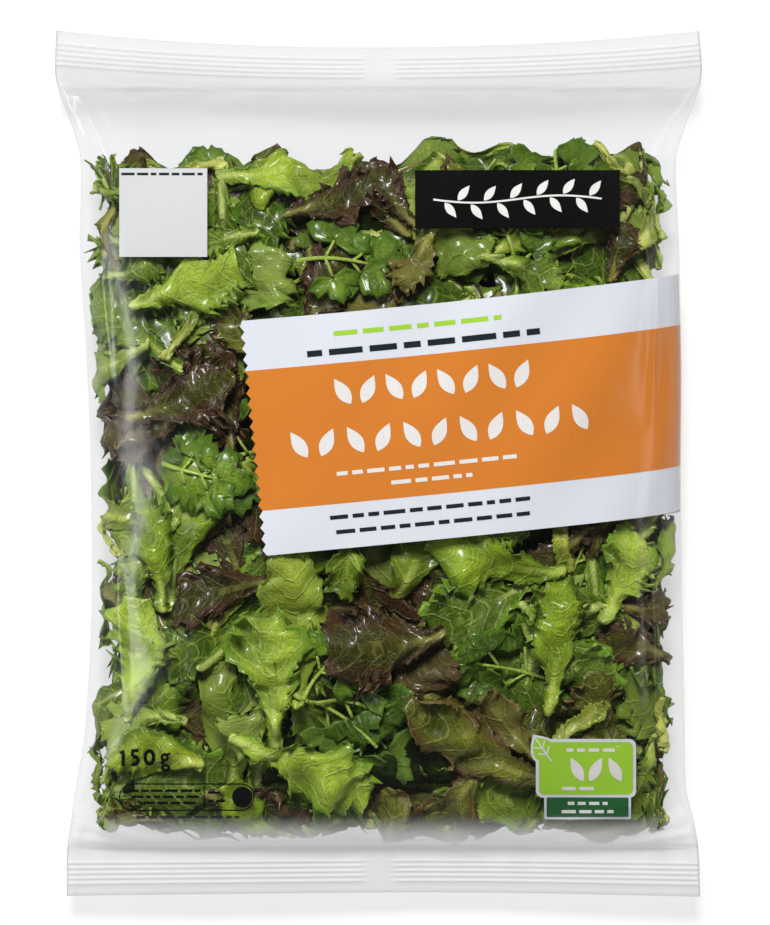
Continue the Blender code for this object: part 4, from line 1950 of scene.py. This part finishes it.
@dataclass(frozen=True)
class Shape:
    """A flat shape made of triangles."""

    points: Array
    triangles: Array

    @classmethod
    def sheet(cls, width: float, height: float, cell: float) -> "Shape":
        """Make a rectangle of square cells about its middle.

        Args:
            width: Its size across.
            height: Its size up.
            cell: Roughly how large each cell is.

        Returns:
            The rectangle.
        """
        columns, rows = max(2, round(width / cell) + 1), max(2, round(height / cell) + 1)
        across = np.linspace(-width / 2, width / 2, columns)
        up = np.linspace(-height / 2, height / 2, rows)
        points = np.stack(np.meshgrid(across, up), axis=-1).reshape(-1, 2)
        return cls(points, grid_triangles(rows, columns))

    @classmethod
    def fan(cls, outline: Array, rings: int) -> "Shape":
        """Fill an outline that its middle sees the whole of.

        Args:
            outline: The outline's points, anticlockwise.
            rings: How many rings of triangles fill it.

        Returns:
            The shape.
        """
        number = len(outline)
        middle = outline.mean(axis=0)
        shares = np.arange(rings, 0, -1)[:, None, None] / rings
        points = np.concatenate(((middle + (outline - middle) * shares).reshape(-1, 2), [middle]))
        here, after = np.arange(number), (np.arange(number) + 1) % number
        faces = []
        for ring in range(rings - 1):
            out, inner = ring * number, (ring + 1) * number
            faces.append(np.stack((out + here, out + after, inner + after), axis=1))
            faces.append(np.stack((out + here, inner + after, inner + here), axis=1))
        last = (rings - 1) * number
        faces.append(np.stack((last + here, last + after, 0 * here + rings * number), axis=1))
        return cls(points, np.concatenate(faces))

    @classmethod
    def disc(cls, radius: float) -> "Shape":
        """Make a disc."""
        angle = np.linspace(0.0, 2 * np.pi, 24, endpoint=False)
        return cls.fan(radius * np.stack((np.cos(angle), np.sin(angle)), axis=1), 2)

    @classmethod
    def plate(cls, width: float, height: float, corner: float) -> "Shape":
        """Make a rectangle with rounded corners.

        Args:
            width: Its size across.
            height: Its size up.
            corner: Its corners' radius.

        Returns:
            The plate.
        """
        return cls.fan(cls.plate_outline(width, height, corner), 4)

    @staticmethod
    def plate_outline(width: float, height: float, corner: float) -> Array:
        """Draw the outline of a rectangle with rounded corners, anticlockwise.

        Args:
            width: Its size across.
            height: Its size up.
            corner: Its corners' radius.

        Returns:
            The outline's points.
        """
        line = []
        inset = np.array((width / 2 - corner, height / 2 - corner))
        for quarter, signs in enumerate(((1, 1), (-1, 1), (-1, -1), (1, -1))):
            angle = np.linspace(0.0, np.pi / 2, 7) + quarter * np.pi / 2
            bow = corner * np.stack((np.cos(angle), np.sin(angle)), axis=1)
            line.append(inset * signs + bow)
        corners = np.concatenate(line)
        ahead = np.roll(corners, -1, axis=0)
        filled = []
        for start, end in zip(corners, ahead):
            count = max(1, round(float(np.linalg.norm(end - start)) / 0.003))
            filled.append(start + (end - start) * (np.arange(count) / count)[:, None])
        return np.concatenate(filled)

    @classmethod
    def leaf(cls, length: float, width: float) -> "Shape":
        """Make a pointed leaf shape.

        Args:
            length: Its size from tip to tip.
            width: Its greatest width.

        Returns:
            The leaf shape.
        """
        part = np.linspace(0.0, 1.0, 13)
        rise = width / 2 * np.sin(np.pi * part**0.85)
        reach = length * (part - 0.5)
        lower = np.stack((reach, -rise), axis=1)
        upper = np.stack((reach, rise), axis=1)[-2:0:-1]
        return cls.fan(np.concatenate((lower, upper)), 2)

    @classmethod
    def ribbon(cls, path: Array, width: float, closed: bool = False) -> "Shape":
        """Make a stroke along a path.

        Args:
            path: The path's points.
            width: The stroke's width.
            closed: True where the end joins the start.

        Returns:
            The stroke.
        """
        number = len(path)
        if closed:
            ahead = np.roll(path, -1, axis=0) - np.roll(path, 1, axis=0)
        else:
            ahead = np.gradient(path, axis=0)
        ahead /= np.linalg.norm(ahead, axis=1, keepdims=True)
        aside = np.stack((-ahead[:, 1], ahead[:, 0]), axis=1) * width / 2
        points = np.concatenate((path - aside, path + aside))
        here = np.arange(number if closed else number - 1)
        after = (here + 1) % number
        first = np.stack((here, after, after + number), axis=1)
        second = np.stack((here, after + number, here + number), axis=1)
        return cls(points, np.concatenate((first, second)))

    @classmethod
    def arc(
        cls, radius: float, start: float, end: float, width: float, stretch: float = 1.0
    ) -> "Shape":
        """Make a stroke along part of a circle or an oval.

        Args:
            radius: The circle's radius.
            start: Where it starts, in degrees anticlockwise from the right.
            end: Where it ends.
            width: The stroke's width.
            stretch: How much taller than wide it is.

        Returns:
            The stroke.
        """
        angle = np.radians(np.linspace(start, end, 21))
        path = radius * np.stack((np.cos(angle), stretch * np.sin(angle)), axis=1)
        return cls.ribbon(path, width)

    def at(self, across: float, up: float, turn: float = 0.0) -> "Shape":
        """Turn the shape about its middle, then move it.

        Args:
            across: How far to move it across.
            up: How far to move it up.
            turn: How far to turn it, in degrees.

        Returns:
            The moved shape.
        """
        cosine, sine = math.cos(math.radians(turn)), math.sin(math.radians(turn))
        turned = self.points @ np.array(((cosine, sine), (-sine, cosine)))
        return Shape(turned + (across, up), self.triangles)


class Ink(Enum):
    """The inks, each with its finish and its depth under the film's face."""

    WHITE = (InkFinish("white_ink", (0.59, 0.61, 0.66), (0.56, 0.58, 0.63)), 0.00026)
    BOX = (InkFinish("box_ink", (0.515, 0.515, 0.515), (0.495, 0.495, 0.495)), 0.00026)
    PALE = (InkFinish("pale_ink", (0.66, 0.64, 0.62), (0.60, 0.57, 0.54)), 0.00013)
    ORANGE = (InkFinish("orange_ink", (0.555, 0.180, 0.027), (0.525, 0.168, 0.024)), 0.00020)
    BLACK = (InkFinish("black_ink", (0.003, 0.003, 0.003), (0.005, 0.005, 0.005)), 0.00020)
    GREEN = (InkFinish("green_ink", (0.30, 0.53, 0.040), (0.28, 0.50, 0.036)), 0.00020)
    DEEP = (InkFinish("deep_green_ink", (0.018, 0.105, 0.032), (0.016, 0.095, 0.028)), 0.00020)
    DARK = (InkFinish("dark_line_ink", (0.012, 0.018, 0.022), (0.020, 0.026, 0.030)), 0.00013)

    @property
    def finish(self) -> InkFinish:
        """The ink's finish."""
        return self.value[0]

    @property
    def depth(self) -> float:
        """How deep the ink lies."""
        return self.value[1]


@dataclass
class Print:
    """The print on the film: fields of ink, and plain generic shapes where words would stand."""

    tube: FilmTube
    ink_thickness: float = 0.00004
    cell: float = 0.0026
    band_turn: float = 5.6
    band_left: Pair = (-0.0417, 0.0082)
    band_height: float = 0.0765
    band_reach: float = 0.165
    orange_shares: Pair = (-0.304, 0.282)
    tooth_depth: float = 0.0013
    tooth_count: int = 21
    bar_shares: Pair = (2.0, 5.5)
    bar_gap: float = 1.1
    sheets: dict[Ink, Sheaf] = field(default_factory=dict)

    def __post_init__(self) -> None:
        """Start a sheet for each ink, and lay out the band's own directions."""
        self.rng = np.random.default_rng(SEED + 1)
        self.sheets = {ink: Sheaf(ink.finish.name) for ink in Ink}
        self.cosine = math.cos(math.radians(self.band_turn))
        self.sine = math.sin(math.radians(self.band_turn))

    def _add(self, ink: Ink, shape: Shape, turn: Array, along: Array) -> None:
        """Add a shape that has been placed on the tube.

        Args:
            ink: The ink.
            shape: The shape.
            turn: Each of its points' share of the way round.
            along: Each of its points' place along the bag.
        """
        upper = self.tube.place(turn, along, np.array(ink.depth))
        lower = self.tube.place(turn, along, np.array(ink.depth + self.ink_thickness))
        triangles = shape.triangles
        corner = upper[triangles]
        facing = np.cross(corner[:, 1] - corner[:, 0], corner[:, 2] - corner[:, 0]).sum(axis=0)
        inward = (lower - upper).sum(axis=0)
        if np.dot(facing, inward) > 0.0:
            triangles = triangles[:, ::-1]
        self.sheets[ink].add(upper, lower, triangles, shape.points, {})

    def seen(self, ink: Ink, shape: Shape) -> None:
        """Print a shape where it is seen from above.

        Args:
            ink: The ink.
            shape: The shape, in x and y.
        """
        self._add(ink, shape, *self.tube.spots(shape.points[:, 0], shape.points[:, 1]))

    def on_band(self, ink: Ink, shape: Shape) -> None:
        """Print a shape on the band.

        Args:
            ink: The ink.
            shape: The shape, along the band from its left edge and up from its middle.
        """
        start_turn, start_along = self.tube.spots(*np.array(self.band_left)[:, None])
        reach, up = shape.points[:, 0], shape.points[:, 1]
        run = reach * self.cosine - up * self.sine
        side_run = (0.25 - start_turn) * self.tube.girth
        side_reach = (side_run + up * self.sine) / self.cosine
        risen = side_reach - np.abs(reach - side_reach)
        along = start_along + risen * self.sine + up * self.cosine
        self._add(ink, shape, start_turn + run / self.tube.girth, along)

    def _band_sheet(self, low: float, high: float) -> Shape:
        """Make a strip of the band, pinked at its left edge.

        Args:
            low: Where it starts, as a share of the band's height from its middle.
            high: Where it ends.

        Returns:
            The strip.
        """
        rows_all = self.tooth_count * 4
        first = round((low + 0.5) * rows_all)
        last = round((high + 0.5) * rows_all)
        up = (np.arange(first, last + 1) / rows_all - 0.5) * self.band_height
        columns = round(self.band_reach / self.cell)
        reach = self.band_reach * np.linspace(0.0, 1.0, columns) ** 1.1
        points = np.stack(np.meshgrid(reach, up), axis=-1)
        fold = np.abs((np.arange(first, last + 1) / 4.0) % 1.0 - 0.5) * 2
        points[:, 0, 0] += self.tooth_depth * fold
        points[:, 1, 0] = np.maximum(points[:, 1, 0], self.tooth_depth + 0.0004)
        return Shape(points.reshape(-1, 2), grid_triangles(len(up), columns))

    def _dashes(self, start: float, end: float, up: float, height: float) -> list[Shape]:
        """Lay a row of short bars, like a line of small print.

        Args:
            start: Where the row starts.
            end: Where it ends.
            up: How far up it lies.
            height: The bars' height.

        Returns:
            The bars.
        """
        bars = []
        place = start
        while place < end - height:
            width = min(height * self.rng.uniform(*self.bar_shares), end - place)
            bars.append(Shape.sheet(width, height, self.cell).at(place + width / 2, up))
            place += width + height * self.bar_gap
        return bars

    def _small_print(self, ink: Ink, rows: tuple, spot: Pair) -> None:
        """Print rows of short bars, like lines of small print.

        Args:
            ink: The ink.
            rows: Each row's start, end, rise and height.
            spot: The x and y that they are measured from.
        """
        for row in rows:
            for bar in self._dashes(*row):
                self.seen(ink, bar.at(*spot))

    def _band(self) -> None:
        """Print the band that runs off the right side."""
        self.on_band(Ink.WHITE, self._band_sheet(-0.5, 0.5))
        self.on_band(Ink.ORANGE, self._band_sheet(*self.orange_shares))
        rows = (
            (Ink.GREEN, 0.0295, 0.0830, 0.0315, 0.0016),
            (Ink.DARK, 0.0205, 0.0950, 0.0256, 0.0020),
            (Ink.DARK, 0.0225, 0.0890, -0.0280, 0.0013),
            (Ink.DARK, 0.0240, 0.0870, -0.0328, 0.0013),
            (Ink.PALE, 0.0260, 0.0850, -0.0140, 0.0013),
            (Ink.PALE, 0.0430, 0.0690, -0.0185, 0.0013),
        )
        for ink, start, end, up, height in rows:
            for bar in self._dashes(start, end, up, height):
                self.on_band(ink, bar)
        for count, start, pitch, up in ((8, 0.0305, 0.0082, 0.0125), (11, 0.0150, 0.0090, -0.0035)):
            for number in range(count):
                lean = 62.0 if number % 2 else 118.0
                leaf = Shape.leaf(0.0098, 0.0044).at(start + number * pitch, up, lean)
                self.on_band(Ink.PALE, leaf)

    def _date_box(self) -> None:
        """Print the pale box at the top left."""
        spot = (-0.0704, 0.0820)
        self.seen(Ink.BOX, Shape.sheet(0.0288, 0.0290, self.cell).at(*spot))
        self._small_print(Ink.DARK, ((-0.0137, 0.0137, 0.0126, 0.0008),), spot)

    def _dark_box(self) -> None:
        """Print the black box with a plain white sprig."""
        spot = (0.0454, 0.0864)
        sway, waves = 0.0012, 110
        self.seen(Ink.BLACK, Shape.sheet(0.0670, 0.0190, self.cell).at(*spot))
        reach = np.linspace(-0.0275, 0.0275, 41)
        stem = np.stack((reach, sway * np.sin(reach * waves)), axis=1)
        self.seen(Ink.PALE, Shape.ribbon(stem, 0.0006).at(*spot))
        for number in range(12):
            foot = -0.0235 + number * 0.0043
            side = 1 if number % 2 else -1
            rise = sway * math.sin(foot * waves) + side * 0.0030
            leaf = Shape.leaf(0.0062, 0.0026).at(foot + 0.0016, rise, side * 52.0)
            self.seen(Ink.PALE, leaf.at(*spot))

    def _badge(self) -> None:
        """Print the green badge and its dark foot."""
        across, place = 0.0678, -0.0997
        foot, lean = -0.0127, 125.0
        foot_spot = (across + 0.0005, place + foot)
        leaf_spot = (across - 0.0140, place + 0.0062, lean)
        vein = np.stack((np.linspace(-0.0046, 0.0048, 9), np.zeros(9)), axis=1)
        for ink, shape, spot in (
            (Ink.WHITE, Shape.plate(0.0328, 0.0192, 0.0022), (across, place)),
            (Ink.WHITE, Shape.plate(0.0284, 0.0080, 0.0006), foot_spot),
            (Ink.WHITE, Shape.leaf(0.0118, 0.0090), leaf_spot),
            (Ink.GREEN, Shape.plate(0.0308, 0.0172, 0.0018), (across, place)),
            (Ink.DEEP, Shape.plate(0.0268, 0.0064, 0.0004), foot_spot),
            (Ink.GREEN, Shape.leaf(0.0100, 0.0074), leaf_spot),
            (Ink.PALE, Shape.ribbon(vein, 0.0005), leaf_spot),
        ):
            self.seen(ink, shape.at(*spot))
        for side in (-1.0, 1.0):
            for start in (-0.0020, 0.0004):
                twig = np.array(((start, 0.0), (start + 0.0010, 0.0012), (start + 0.0018, 0.0022)))
                shape = Shape.ribbon(twig * (1.0, side), 0.0004 * side)
                self.seen(Ink.PALE, shape.at(*leaf_spot))
        for number, turn in enumerate((118.0, 62.0, 118.0)):
            middle = across - 0.0030 + number * 0.0062
            self.seen(Ink.PALE, Shape.leaf(0.0088, 0.0036).at(middle, place - 0.0003, turn))
        rows = (
            (-0.0064, 0.0094, 0.0060, 0.0011),
            (-0.0078, 0.0040, -0.0066, 0.0011),
            (-0.0060, 0.0070, foot + 0.0013, 0.0010),
            (-0.0080, 0.0090, foot - 0.0014, 0.0010),
        )
        self._small_print(Ink.PALE, rows, (across, place))

    def _weight(self) -> None:
        """Print the plain weight figures at the bottom left."""
        up = -0.0961
        stroke = 0.00118
        one = np.array(((-0.0011, 0.0014), (0.0, 0.0022), (0.0, 0.0), (0.0, -0.0028)))
        five_flag = np.array(((0.0012, 0.0022), (-0.0008, 0.0022), (-0.0009, 0.0004)))
        figures = (
            (Shape.ribbon(one, stroke), -0.0835, 0.0),
            (Shape.ribbon(five_flag, stroke), -0.0796, 0.0),
            (Shape.arc(0.00128, 112.0, -128.0, stroke), -0.0799, -0.0010),
            (Shape.arc(0.00138, 0.0, 360.0, stroke, 1.55), -0.0749, 0.0),
            (Shape.arc(0.00096, 0.0, 360.0, stroke * 0.75), -0.0699, 0.0),
            (Shape.arc(0.00118, 0.0, 360.0, stroke * 0.7, 0.65), -0.0696, -0.0034),
            (Shape.ribbon(np.array(((0.0, 0.0), (-0.0005, -0.0013))), stroke), -0.0703, -0.0010),
            (Shape.ribbon(np.array(((0.0, 0.0), (0.0012, 0.0004))), stroke * 0.6), -0.0692, 0.0009),
        )
        for shape, across, rise in figures:
            self.seen(Ink.BLACK, shape.at(across, up + rise))

    def _pill(self) -> None:
        """Print the outlined pill with its bars and its dot."""
        across, up = -0.0627, -0.1091
        outline = Shape.plate_outline(0.0440, 0.0086, 0.0042)
        divider = np.array(((0.0, -0.0040), (0.0, 0.0), (0.0, 0.0040)))
        self.seen(Ink.BLACK, Shape.ribbon(outline, 0.00042, True).at(across, up))
        self.seen(Ink.BLACK, Shape.ribbon(divider, 0.00035).at(across + 0.0057, up))
        self.seen(Ink.BLACK, Shape.disc(0.0034).at(across + 0.0182, up))
        rows = (
            (-0.0185, 0.0045, 0.0021, 0.0008),
            (-0.0180, 0.0045, 0.0001, 0.0008),
            (-0.0140, 0.0045, -0.0019, 0.0008),
            (0.0070, 0.0125, 0.0015, 0.0008),
            (0.0070, 0.0125, -0.0013, 0.0008),
            (-0.0165, 0.0172, -0.0066, 0.0009),
        )
        self._small_print(Ink.BLACK, rows, (across, up))

    def build(self) -> list[Piece]:
        """Print everything.

        Returns:
            One piece for each ink.
        """
        self._band()
        self._date_box()
        self._dark_box()
        self._badge()
        self._weight()
        self._pill()
        return [
            sheet.build(ink.finish.make(), "print", smooth=False)
            for ink, sheet in self.sheets.items()
        ]


@dataclass(frozen=True)
class FilmBag:
    """The bag's film, front and back, with its crimped seals."""

    form: BagForm
    front_columns: int = 127
    back_columns: int = 65
    body_rows: int = 170
    samples_per_ridge: int = 6
    top_haze_from: float = 0.0055
    top_haze_full: float = 0.0040
    root_blend: float = 0.0010
    foot_haze_reach: float = 0.0125
    foot_haze: float = 0.80

    def _places(self) -> Array:
        """Space the rows along the bag, close together over the ridges and near the seals.

        Returns:
            Their places along the bag.
        """
        form = self.form
        ridge = np.linspace(0.0, form.crimp_length, form.ridge_count * self.samples_per_ridge + 1)
        margin = form.bottom_margin
        low = form.bottom_edge + np.concatenate(([0.0, margin * 0.5], margin + ridge))
        margin = form.top_margin
        high = form.top_edge - np.concatenate(([0.0, margin * 0.5], margin + ridge))
        share = np.linspace(0.0, 1.0, self.body_rows)
        share = share - 0.35 * np.sin(2 * np.pi * share) / (2 * np.pi)
        body = form.bottom_root + 2 * form.half_length * share
        return np.concatenate((low, body, high[::-1]))

    @staticmethod
    def _shares(columns: int) -> Array:
        """Space columns across the bag, closer together towards the rounded sides."""
        even = np.linspace(-1.0, 1.0, columns)
        return 0.5 * even + 0.5 * np.sin(np.pi / 2 * even)

    def build(self) -> Piece:
        """Make the film.

        Returns:
            The film, which stands for the whole solid.
        """
        places = self._places()[:, None]
        front = self.form.points(self._shares(self.front_columns)[None, :], places, True)
        back = self.form.points(self._shares(self.back_columns)[None, :], places, False)
        rim = (front[:, (0, -1)] + back[:, (0, -1)]) / 2
        front[:, (0, -1)] = rim
        rows, wide, narrow = len(places), self.front_columns, self.back_columns
        inner = back[:, 1:-1]
        points = np.concatenate((front.reshape(-1, 3), inner.reshape(-1, 3)))
        front_number = np.arange(rows * wide).reshape(rows, wide)
        inner_number = rows * wide + np.arange(rows * (narrow - 2)).reshape(rows, narrow - 2)
        back_number = np.concatenate((front_number[:, :1], inner_number, front_number[:, -1:]), 1)
        front_faces = front_number.ravel()[grid_triangles(rows, wide)]
        back_faces = back_number.ravel()[grid_triangles(rows, narrow)][:, ::-1]
        ends = [
            self._end_strip(front_number[0], back_number[0]),
            self._end_strip(front_number[-1], back_number[-1])[:, ::-1],
        ]
        triangles = np.concatenate((front_faces, back_faces, *ends))
        maps, marks = {"OFBake": self._corners(points, triangles)}, {"film": self._marks(points)}
        piece = mesh_piece("film", points, triangles, maps, marks)
        piece.data.materials.append(FilmFinish().make())
        enlist(piece)
        return piece

    @staticmethod
    def _end_strip(front: Array, back: Array) -> Array:
        """Close a seal's end between its front and back lines, which share their end points.

        Args:
            front: The front line's point numbers.
            back: The back line's point numbers.

        Returns:
            Three point numbers each.
        """
        faces = []
        step_front, step_back = 0, 0
        while step_front < len(front) - 1 or step_back < len(back) - 1:
            front_next = (step_front + 1) / (len(front) - 1)
            back_next = (step_back + 1) / (len(back) - 1)
            if front_next <= back_next and step_front < len(front) - 1:
                faces.append((front[step_front + 1], front[step_front], back[step_back]))
                step_front += 1
            else:
                faces.append((front[step_front], back[step_back], back[step_back + 1]))
                step_back += 1
        return np.array([face for face in faces if len(set(face)) == 3])

    @staticmethod
    def _corners(points: Array, triangles: Array) -> Array:
        """Lay the front and the back side by side on the bake map.

        Args:
            points: The film's points.
            triangles: Three point numbers each.

        Returns:
            One place on the map for each corner of each triangle.
        """
        corner = points[triangles]
        low, high = points.min(axis=0), points.max(axis=0)
        flat = (corner[..., :2] - low[:2]) / (high[:2] - low[:2])
        upward = np.cross(corner[:, 1] - corner[:, 0], corner[:, 2] - corner[:, 0])[:, 2] > 0
        flat[..., 0] = flat[..., 0] * 0.47 + np.where(upward, 0.01, 0.52)[:, None]
        flat[..., 1] = flat[..., 1] * 0.98 + 0.01
        return flat

    def _marks(self, points: Array) -> Array:
        """Mark how far each point lies in a seal, and how milky the film is there.

        Args:
            points: The film's points.

        Returns:
            One vector for each point, with the two marks first.
        """
        form = self.form
        place = points[:, 1]
        from_top, from_root = place - form.top_root, place - form.bottom_root
        top = soft_step(-self.top_haze_from, -self.top_haze_full, from_top)
        bottom = soft_step(self.root_blend, 0.0, from_root)
        marks = np.zeros_like(points)
        marks[:, 0] = np.maximum(top, bottom)
        on_front = points[:, 2] >= form.middle_height(points[:, 0], place)
        foot = soft_step(self.foot_haze_reach, self.root_blend, from_root)
        marks[:, 1] = self.foot_haze * foot * on_front * (1.0 - bottom)
        return marks


@dataclass(frozen=True)
class Lamp:
    """One soft lamp: where it hangs, what it faces, how large and strong it is."""

    name: str
    place: tuple[float, float, float]
    target: tuple[float, float, float]
    size: Pair
    power: float
    tint: Colour = (1.0, 1.0, 1.0)
    in_gloss: bool = True
    leaf_gloss_only: bool = False

    def hang(self) -> Piece:
        """Hang the lamp in the scene.

        Returns:
            The lamp.
        """
        lamp = bpy.data.lights.new(self.name, "AREA")
        lamp.shape = "RECTANGLE"
        lamp.size, lamp.size_y = self.size
        lamp.energy = self.power
        lamp.color = self.tint
        holder = bpy.data.objects.new(self.name, lamp)
        holder.location = self.place
        way = np.array(self.place) - np.array(self.target)
        pitch = math.acos(way[2] / np.linalg.norm(way))
        holder.rotation_euler = (0.0, pitch, math.atan2(way[1], way[0]))
        holder.visible_glossy = self.in_gloss
        holder.visible_diffuse = not self.leaf_gloss_only
        bpy.context.scene.collection.objects.link(holder)
        return holder


CENTRE = (0.0, 0.0, 0.0)
LAMPS = (
    Lamp("key_lamp", (-0.15, 1.65, 2.65), CENTRE, (0.8, 0.8), 137.0, in_gloss=False),
    Lamp("fill_lamp", (0.9, -2.4, 2.0), CENTRE, (2.2, 2.2), 11.0, in_gloss=False),
    Lamp("leaf_sheen", (-0.5, 1.0, 2.2), CENTRE, (0.35, 0.35), 66.0, leaf_gloss_only=True),
    Lamp("left_strip", (-1.5, 0.05, 0.85), (-0.06, 0.0, 0.04), (0.30, 1.3), 12.0),
    Lamp("right_strip", (1.15, 0.0, 0.55), (0.09, 0.0, 0.03), (0.18, 0.9), 1.7, (1.0, 0.90, 0.76)),
)


@dataclass(frozen=True)
class Studio:
    """A pale floor, soft lamps and the camera straight above the bag."""

    leaves: bpy.types.Collection
    air_tint: Colour = (0.97, 0.98, 1.0)
    air_strength: float = 0.035
    floor_half: float = 3.0
    frame_height: float = 0.3021
    sensor_height: float = 24.0

    def build(self) -> None:
        """Set up the floor, the lamps and the camera."""
        self._floor()
        for lamp in LAMPS:
            holder = lamp.hang()
            if lamp.leaf_gloss_only:
                holder.light_linking.receiver_collection = self.leaves
        world = bpy.data.worlds.new("studio_air")
        world.use_nodes = True
        back = world.node_tree.nodes["Background"]
        back.inputs["Color"].default_value = (*self.air_tint, 1.0)
        back.inputs["Strength"].default_value = self.air_strength
        bpy.context.scene.world = world
        bpy.context.scene.view_settings.view_transform = "Standard"
        self._camera()

    def _floor(self) -> None:
        """Make the floor."""
        half = self.floor_half
        points = np.array([(x, y, 0.0) for y in (-half, half) for x in (-half, half)])
        floor = mesh_piece("floor", points, grid_triangles(2, 2), {}, {})
        floor.data.materials.append(FloorFinish().make())

    def _camera(self) -> None:
        """Hang the camera straight above the bag."""
        camera = bpy.data.cameras.new("camera")
        camera.sensor_fit = "VERTICAL"
        camera.sensor_height = self.sensor_height
        distance = VIEWPOINT.height - VIEWPOINT.level
        camera.lens = self.sensor_height * distance / self.frame_height
        holder = bpy.data.objects.new("camera", camera)
        holder.location = (VIEWPOINT.across, VIEWPOINT.place, VIEWPOINT.height)
        bpy.context.scene.collection.objects.link(holder)
        bpy.context.scene.camera = holder


def main() -> None:
    """Build the bag, its contents and the studio."""
    logging.basicConfig(level=logging.INFO, format="%(name)s %(message)s")
    form = BagForm()
    tube = FilmTube(form)
    FilmBag(form).build()
    Print(tube).build()
    leaves = bpy.data.collections.new("leaves")
    for piece in SaladFill(tube).build():
        if piece.name != HeartFinish.name:
            leaves.objects.link(piece)
    Studio(leaves).build()
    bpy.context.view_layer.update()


if __name__ == "__main__":
    main()
